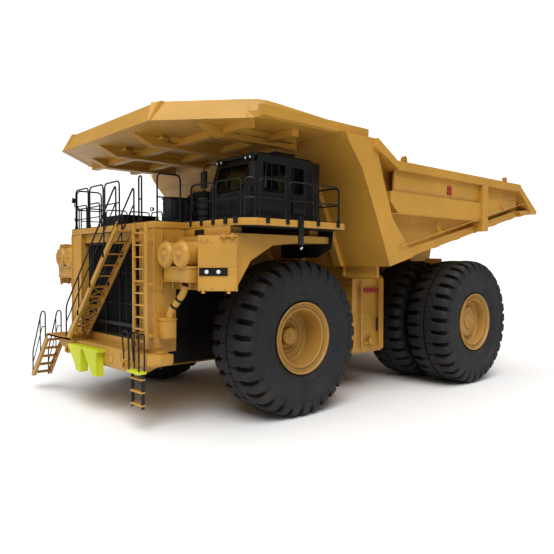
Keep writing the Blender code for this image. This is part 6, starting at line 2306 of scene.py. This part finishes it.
@dataclass
class DumpBody:
    """The dump body's trim, all of which tips with it."""

    edge_z: float = 4.04
    edge_y: float = -1.19
    edge_slope: float = 0.2309
    hanger_x: float = 3.335

    def edge(self, y: float) -> float:
        """The floor's sloping edge height along the side."""
        return self.edge_z + (y - self.edge_y) * self.edge_slope

    def side_trim(self) -> Shape:
        """Lifting eyes, the lower rail's weld beads, end caps and gussets of one side.

        Returns:
            The shape.
        """
        shape = Shape()
        for y in (-0.55, 5.30):
            shape.box((4.60, y, 6.711), (4.66, y + 0.34, 6.75))
            shape.box((4.60, y + 0.05, 6.75), (4.66, y + 0.29, 6.88))
            shape.turned(
                [(-0.02, 0.045), (-0.02, 0.075), (0.08, 0.075), (0.08, 0.045)], (4.60, y + 0.17, 6.86),
                (1, 0, 0), 20, hollow=True
            )
        low = [(y, self.edge(y) + 0.255) for y in (-0.8, 6.9)]
        shape.bar((4.83, low[0][0], low[0][1]), (4.83, low[1][0], low[1][1]), 0.014, 8)
        for y in (-0.70, 1.20, 3.10, 5.10):
            z = self.edge(y)
            shape.prism(Along.Y, [(z + 0.26, 4.60), (z + 0.26, 4.84), (z + 0.62, 4.62)], y, y + 0.04)
        for z, y0, y1 in ((5.895, -1.15, 3.52), (5.285, -1.15, 3.52)):
            shape.bar((4.79, y0, z), (4.79, y1, z), 0.012, 8)
        shape.bar((4.74, -0.95, 6.19), (4.74, 6.15, 6.19), 0.010, 8)
        return shape

    def wall_beads(self) -> Shape:
        """Weld beads beside the front wall's ribs and along its plates.

        Returns:
            The shape.
        """
        shape = Shape()
        for z in (4.70, 5.70, 6.60):
            shape.bar((-4.2, -2.985, z), (4.2, -2.985, z), 0.010, 6)
        return shape

    def wall_foot(self) -> Shape:
        """The plate that joins the front wall's foot to the floor, with its stiffeners.

        Returns:
            The shape.
        """
        shape = Shape().box((-4.20, -1.03, 3.52), (4.20, -0.93, 3.96))
        for x in (-3.0, -1.5, 0.0, 1.5, 3.0):
            shape.box((x - 0.05, -1.12, 3.56), (x + 0.05, -1.02, 3.90))
        return shape

    def brim(self) -> Shape:
        """The canopy's leaning side lip, from its front shoulder back to the body.

        Returns:
            The shape.
        """
        under, thick = 7.20, 0.11
        rows = (
            ((4.185, -5.735), (-0.664, 0.748), 0.495, 0.30), ((4.43, -5.50), (-0.86, 0.50), 0.49, 0.29),
            ((4.545, -5.20), (-0.98, 0.20), 0.47, 0.27), ((4.556, -4.80), (-1.0, 0.0), 0.45, 0.25),
            ((4.556, -3.30), (-1.0, 0.0), 0.34, 0.18), ((4.556, -1.87), (-1.0, 0.0), 0.24, 0.13),
        )
        rings = []
        for (x, y), (back_x, back_y), rise, lean in rows:
            head = (x + back_x * lean, y + back_y * lean)
            foot_in = (x + back_x * thick, y + back_y * thick)
            head_in = (head[0] + back_x * thick, head[1] + back_y * thick)
            top = under + rise
            rings.append(
                [(x, y, under - 0.008), (*head, top), (*head_in, top), (*foot_in, under - 0.008)]
            )
        return Shape().loft(rings)

    def beams(self) -> Shape:
        """Boxed flanges under the canopy's beams, flared where they meet its plate.

        Returns:
            The shape.
        """
        shape = Shape()
        for x in (1.0, 3.0):
            start = FRONT_Y - (2.6 if x < 2 else 1.95)
            for y, span in ((start, 0.55), (FRONT_Y - 0.30, 0.60)):
                flare = [(x - 0.42, y), (x + 0.42, y), (x + 0.14, y + span), (x - 0.14, y + span)]
                shape.prism(Along.Z, flare, 7.10, 7.199)
            shape.prism(
                Along.Y, [(7.10, x - 0.20), (7.10, x + 0.20), (7.199, x + 0.34), (7.199, x - 0.34)],
                start + 0.3, FRONT_Y + 0.3
            )
        return shape

    def fillers(self) -> Shape:
        """The plates that close the side's bays, flush behind its rails.

        Returns:
            The shape.
        """
        low, high = 3.89, 6.19
        shape = Shape().prism(
            Along.Y, [(5.87, 4.66), (5.87, 4.735), (6.47, 4.775), (6.47, 4.70)], -0.98, 3.54
        )
        rear = [
            (low - 0.02, self.edge(low) + 0.23), (high, self.edge(high) + 0.23), (high, 6.47),
            (low - 0.02, 6.47)
        ]
        return shape.prism(Along.X, rear, 4.62, 4.70)

    def build(self, shop: Workshop) -> None:
        """Places the body's trim.

        Args:
            shop: What finishes and places pieces.
        """
        shop.place("body_side_trim", self.side_trim().both_sides(), "bed", "dump_body", bevel=0.003)
        shop.place("wall_foot", self.wall_foot(), "bed", "dump_body", bevel=0.006)
        shop.place("canopy_brim", self.brim().both_sides(), "bed", "dump_body", bevel=0.008)
        shop.place("canopy_flares", self.beams().both_sides(), "bed", "dump_body", bevel=0.012)
        shop.place("body_side_fillers", self.fillers().both_sides(), "bed", "dump_body", bevel=0.004)
        shop.place("body_wall_beads", self.wall_beads(), "bed", "dump_body")
        spots = Shape()
        for dy in (-0.06, 0.06):
            for dz in (-0.07, 0.07):
                spots.take(stud((4.755, 1.75 + dy, 6.14 + dz), (1, 0, 0), 0.052, 0.03))
        shop.place("body_reflectors", spots.both_sides(), "red", "dump_body")
        x = self.hanger_x
        hangers = Shape().box((x - 0.20, 2.90, 3.95), (x + 0.20, 3.30, 4.10))
        hangers.bar((x - 0.16, 3.10, 3.95), (x + 0.16, 3.10, 3.95), 0.07, 16)
        shop.place("rock_hangers", hangers.both_sides(), "bed", "dump_body", bevel=0.01)


@dataclass
class TankTrim:
    """Bands, seams, ports and the marking strip on the side tanks."""

    low: tuple[float, float, float] = (1.72, -0.70, 1.18)
    high: tuple[float, float, float] = (3.12, 0.80, 3.56)

    def shell(self) -> Shape:
        """Straps and bolted covers.

        Returns:
            The shape.
        """
        (x0, y0, z0), (x1, y1, z1) = self.low, self.high
        shape = Shape().box((x1 - 0.40, y0 - 0.006, 2.36), (x1 + 0.006, y0, 2.385))
        shape.box((x1, y0 + 0.12, 2.36), (x1 + 0.010, y1 - 0.12, 2.385))
        for y in (y0 + 0.28, y1 - 0.36):
            shape.box((x1 + 0.0003, y, z0 + 0.15), (x1 + 0.016, y + 0.09, z1 - 0.15))
            for z in (z0 + 0.3, 2.0, 2.8, z1 - 0.3):
                shape.take(stud((x1 + 0.016, y + 0.045, z), (1, 0, 0), 0.018, 0.016))
        ring = [(0.0, 0.13), (0.03, 0.13), (0.03, 0.09), (0.05, 0.08), (0.05, 0.01)]
        shape.turned(ring, (x1, 0.06, 1.55), (1, 0, 0), 24)
        for i in range(8):
            a = i * math.tau / 8
            shape.take(
                stud(
                    (x1 + 0.03, 0.06 + 0.11 * math.cos(a), 1.55 + 0.11 * math.sin(a)), (1, 0, 0), 0.010,
                    0.010
                )
            )
        shape.turned(
            [(0.0, 0.10), (0.06, 0.10), (0.08, 0.07), (0.08, 0.01)], ((x0 + x1) / 2, -0.2, z1), (0, 0, 1),
            20
        )
        for z in (1.36, 3.38):
            shape.box((x0 + 0.1, y0 - 0.010, z), (x1 - 0.12, y0 - 0.0003, z + 0.03))
        return shape

    def build(self, shop: Workshop) -> None:
        """Places the trim of both tanks.

        Args:
            shop: What finishes and places pieces.
        """
        shop.place("tank_trim", self.shell().both_sides(), "yellow", "root", bevel=0.004)
        strip = Shape()
        for i in range(5):
            strip.box((3.1203, -0.42 + i * 0.17, 3.03), (3.128, -0.27 + i * 0.17, 3.16))
        shop.place("tank_strip", strip.both_sides(), "red", "root", bevel=0.002)
        gauge = Shape().box((3.1203, 0.30, 1.85), (3.150, 0.36, 2.25))
        gauge.bar((3.15, 0.33, 1.88), (3.15, 0.33, 2.22), 0.018, 10)
        shop.place("tank_gauge", gauge.both_sides(), "black", "root")


@dataclass
class UnderGear:
    """Axle bolts and cover, strut bolts, hoses and the engine's fittings."""

    def build(self, shop: Workshop) -> None:
        """Places what is fastened below the deck.

        Args:
            shop: What finishes and places pieces.
        """
        self.axle(shop)
        self.struts(shop)
        self.engine(shop)
        self.frame_trim(shop)

    def axle(self, shop: Workshop) -> None:
        """Bolt circles and a cover on the rear axle's face.

        Args:
            shop: What finishes and places pieces.
        """
        shape = Shape()
        low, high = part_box("rear_axle_housing")
        middle_z = (low[2] + high[2]) / 2
        rear = high[1]
        shape.turned(
            [(0.0, 0.30), (0.04, 0.30), (0.04, 0.22), (0.09, 0.20), (0.09, 0.01)],
            (0, rear - 0.03, middle_z), (0, 1, 0), 32
        )
        for i in range(20):
            a = i * math.tau / 20
            shape.take(
                stud(
                    (0.26 * math.cos(a), rear + 0.01, middle_z + 0.26 * math.sin(a)), (0, 1, 0), 0.018,
                    0.02
                )
            )
        shop.place("axle_cover", shape, "yellow", "root")

    def struts(self, shop: Workshop) -> None:
        """A ring of bolts on the top of each front strut.

        Args:
            shop: What finishes and places pieces.
        """
        shape = Shape()
        low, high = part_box("front_strut_left")
        x, y = (low[0] + high[0]) / 2, (low[1] + high[1]) / 2
        radius = (high[1] - low[1]) / 2
        for i in range(12):
            a = i * math.tau / 12
            at = (x + (radius - 0.03) * math.cos(a), y + (radius - 0.03) * math.sin(a), high[2] - 0.001)
            shape.take(stud(at, (0, 0, 1), 0.016, 0.016))
        shop.place("strut_bolts", shape.both_sides(), "yellow", "root")

    def engine(self, shop: Workshop) -> None:
        """Covers, ribs, pipes and the sump on the engine block's sides.

        Args:
            shop: What finishes and places pieces.
        """
        shape = Shape()
        for i in range(8):
            y = -5.60 + i * 0.44
            shape.box((0.7603, y, 2.72), (0.86, y + 0.34, 3.10))
            shape.bar((0.80, y + 0.17, 3.10), (0.80, y + 0.17, 3.24), 0.07, 14)
            shape.box((0.7603, y + 0.02, 1.95), (0.80, y + 0.32, 2.40))
        shape.bar((0.92, -5.7, 2.55), (0.92, -2.2, 2.55), 0.07, 14)
        shape.bar((0.90, -5.7, 1.75), (0.90, -2.2, 1.75), 0.05, 12)
        full = shape.both_sides()
        full.turned(
            [
                (0.0, 0.42), (0.05, 0.42), (0.05, 0.36), (0.10, 0.36), (0.10, 0.10), (0.16, 0.08),
                (0.16, 0.01)
            ],
            (0, -5.80, 2.35), (0, -1, 0), 32
        )
        shop.place("engine_fittings", full, "grey", "root", bevel=0.006)

    def frame_trim(self, shop: Workshop) -> None:
        """Hoses that cross the frame rails.

        Args:
            shop: What finishes and places pieces.
        """
        hoses = Shape()
        for y in (1.30, 0.90):
            hoses.tube(
                rounded([(1.72, y, 3.30), (1.60, y, 3.42), (1.30, y, 3.30), (1.20, y, 2.9)], 0.08, 4),
                0.03, 10
            )
        shop.place("frame_hoses", hoses.both_sides(), "rubber", "root")
PARTS = (DeckRails, Stairs, Ladders, FrontFace, Cab, DeckGear, DumpBody, TankTrim, UnderGear)


CARRIED = {
    "yellow": (
        "main_frame", "engine_block", "radiator_guard", "fender_left", "fender_right", "fuel_tank",
        "hydraulic_tank", "front_strut_left", "front_strut_right", "rear_axle_housing", "upper_stairway",
        "lower_stairway", "front_ladder", "spindle_left", "spindle_right",
        "air_cleaner_left", "air_cleaner_right", "hoist_barrel_left", "hoist_barrel_right",
    ),
    "bed": ("body_floor", "body_side_left", "body_side_right", "body_front_wall", "body_canopy"),
    "black": (
        "tie_rod", "handrail_left", "handrail_right", "handrail_front", "handrail_gate", "hanging_ladder"
    ),
    "deck": ("deck",),
    "core": ("radiator",),
    "cab": ("cab_shell", "cab_door", "dashboard"),
    "steel": ("hoist_rod_left", "hoist_rod_right"),
    "lime": ("wheel_chocks",),
    "grey": ("deck_equipment",),
    "cloth": ("operator_seat",),
    "glass": ("windscreen", "cab_inner_glass", "cab_rear_glass", "cab_side_glass", "cab_door_glass"),
}


def main() -> None:
    """Builds the studio and every sub-assembly in order."""
    logging.basicConfig(level=logging.INFO, format="%(message)s")
    shop = Workshop()
    Studio().build()
    for finish, nodes in CARRIED.items():
        shop.dress(finish, nodes)
    RunningGear().build(shop)
    for part in PARTS:
        part().build(shop)
    LOG.info("%d faces in all", shop.count)


if __name__ == "__main__":
    main()
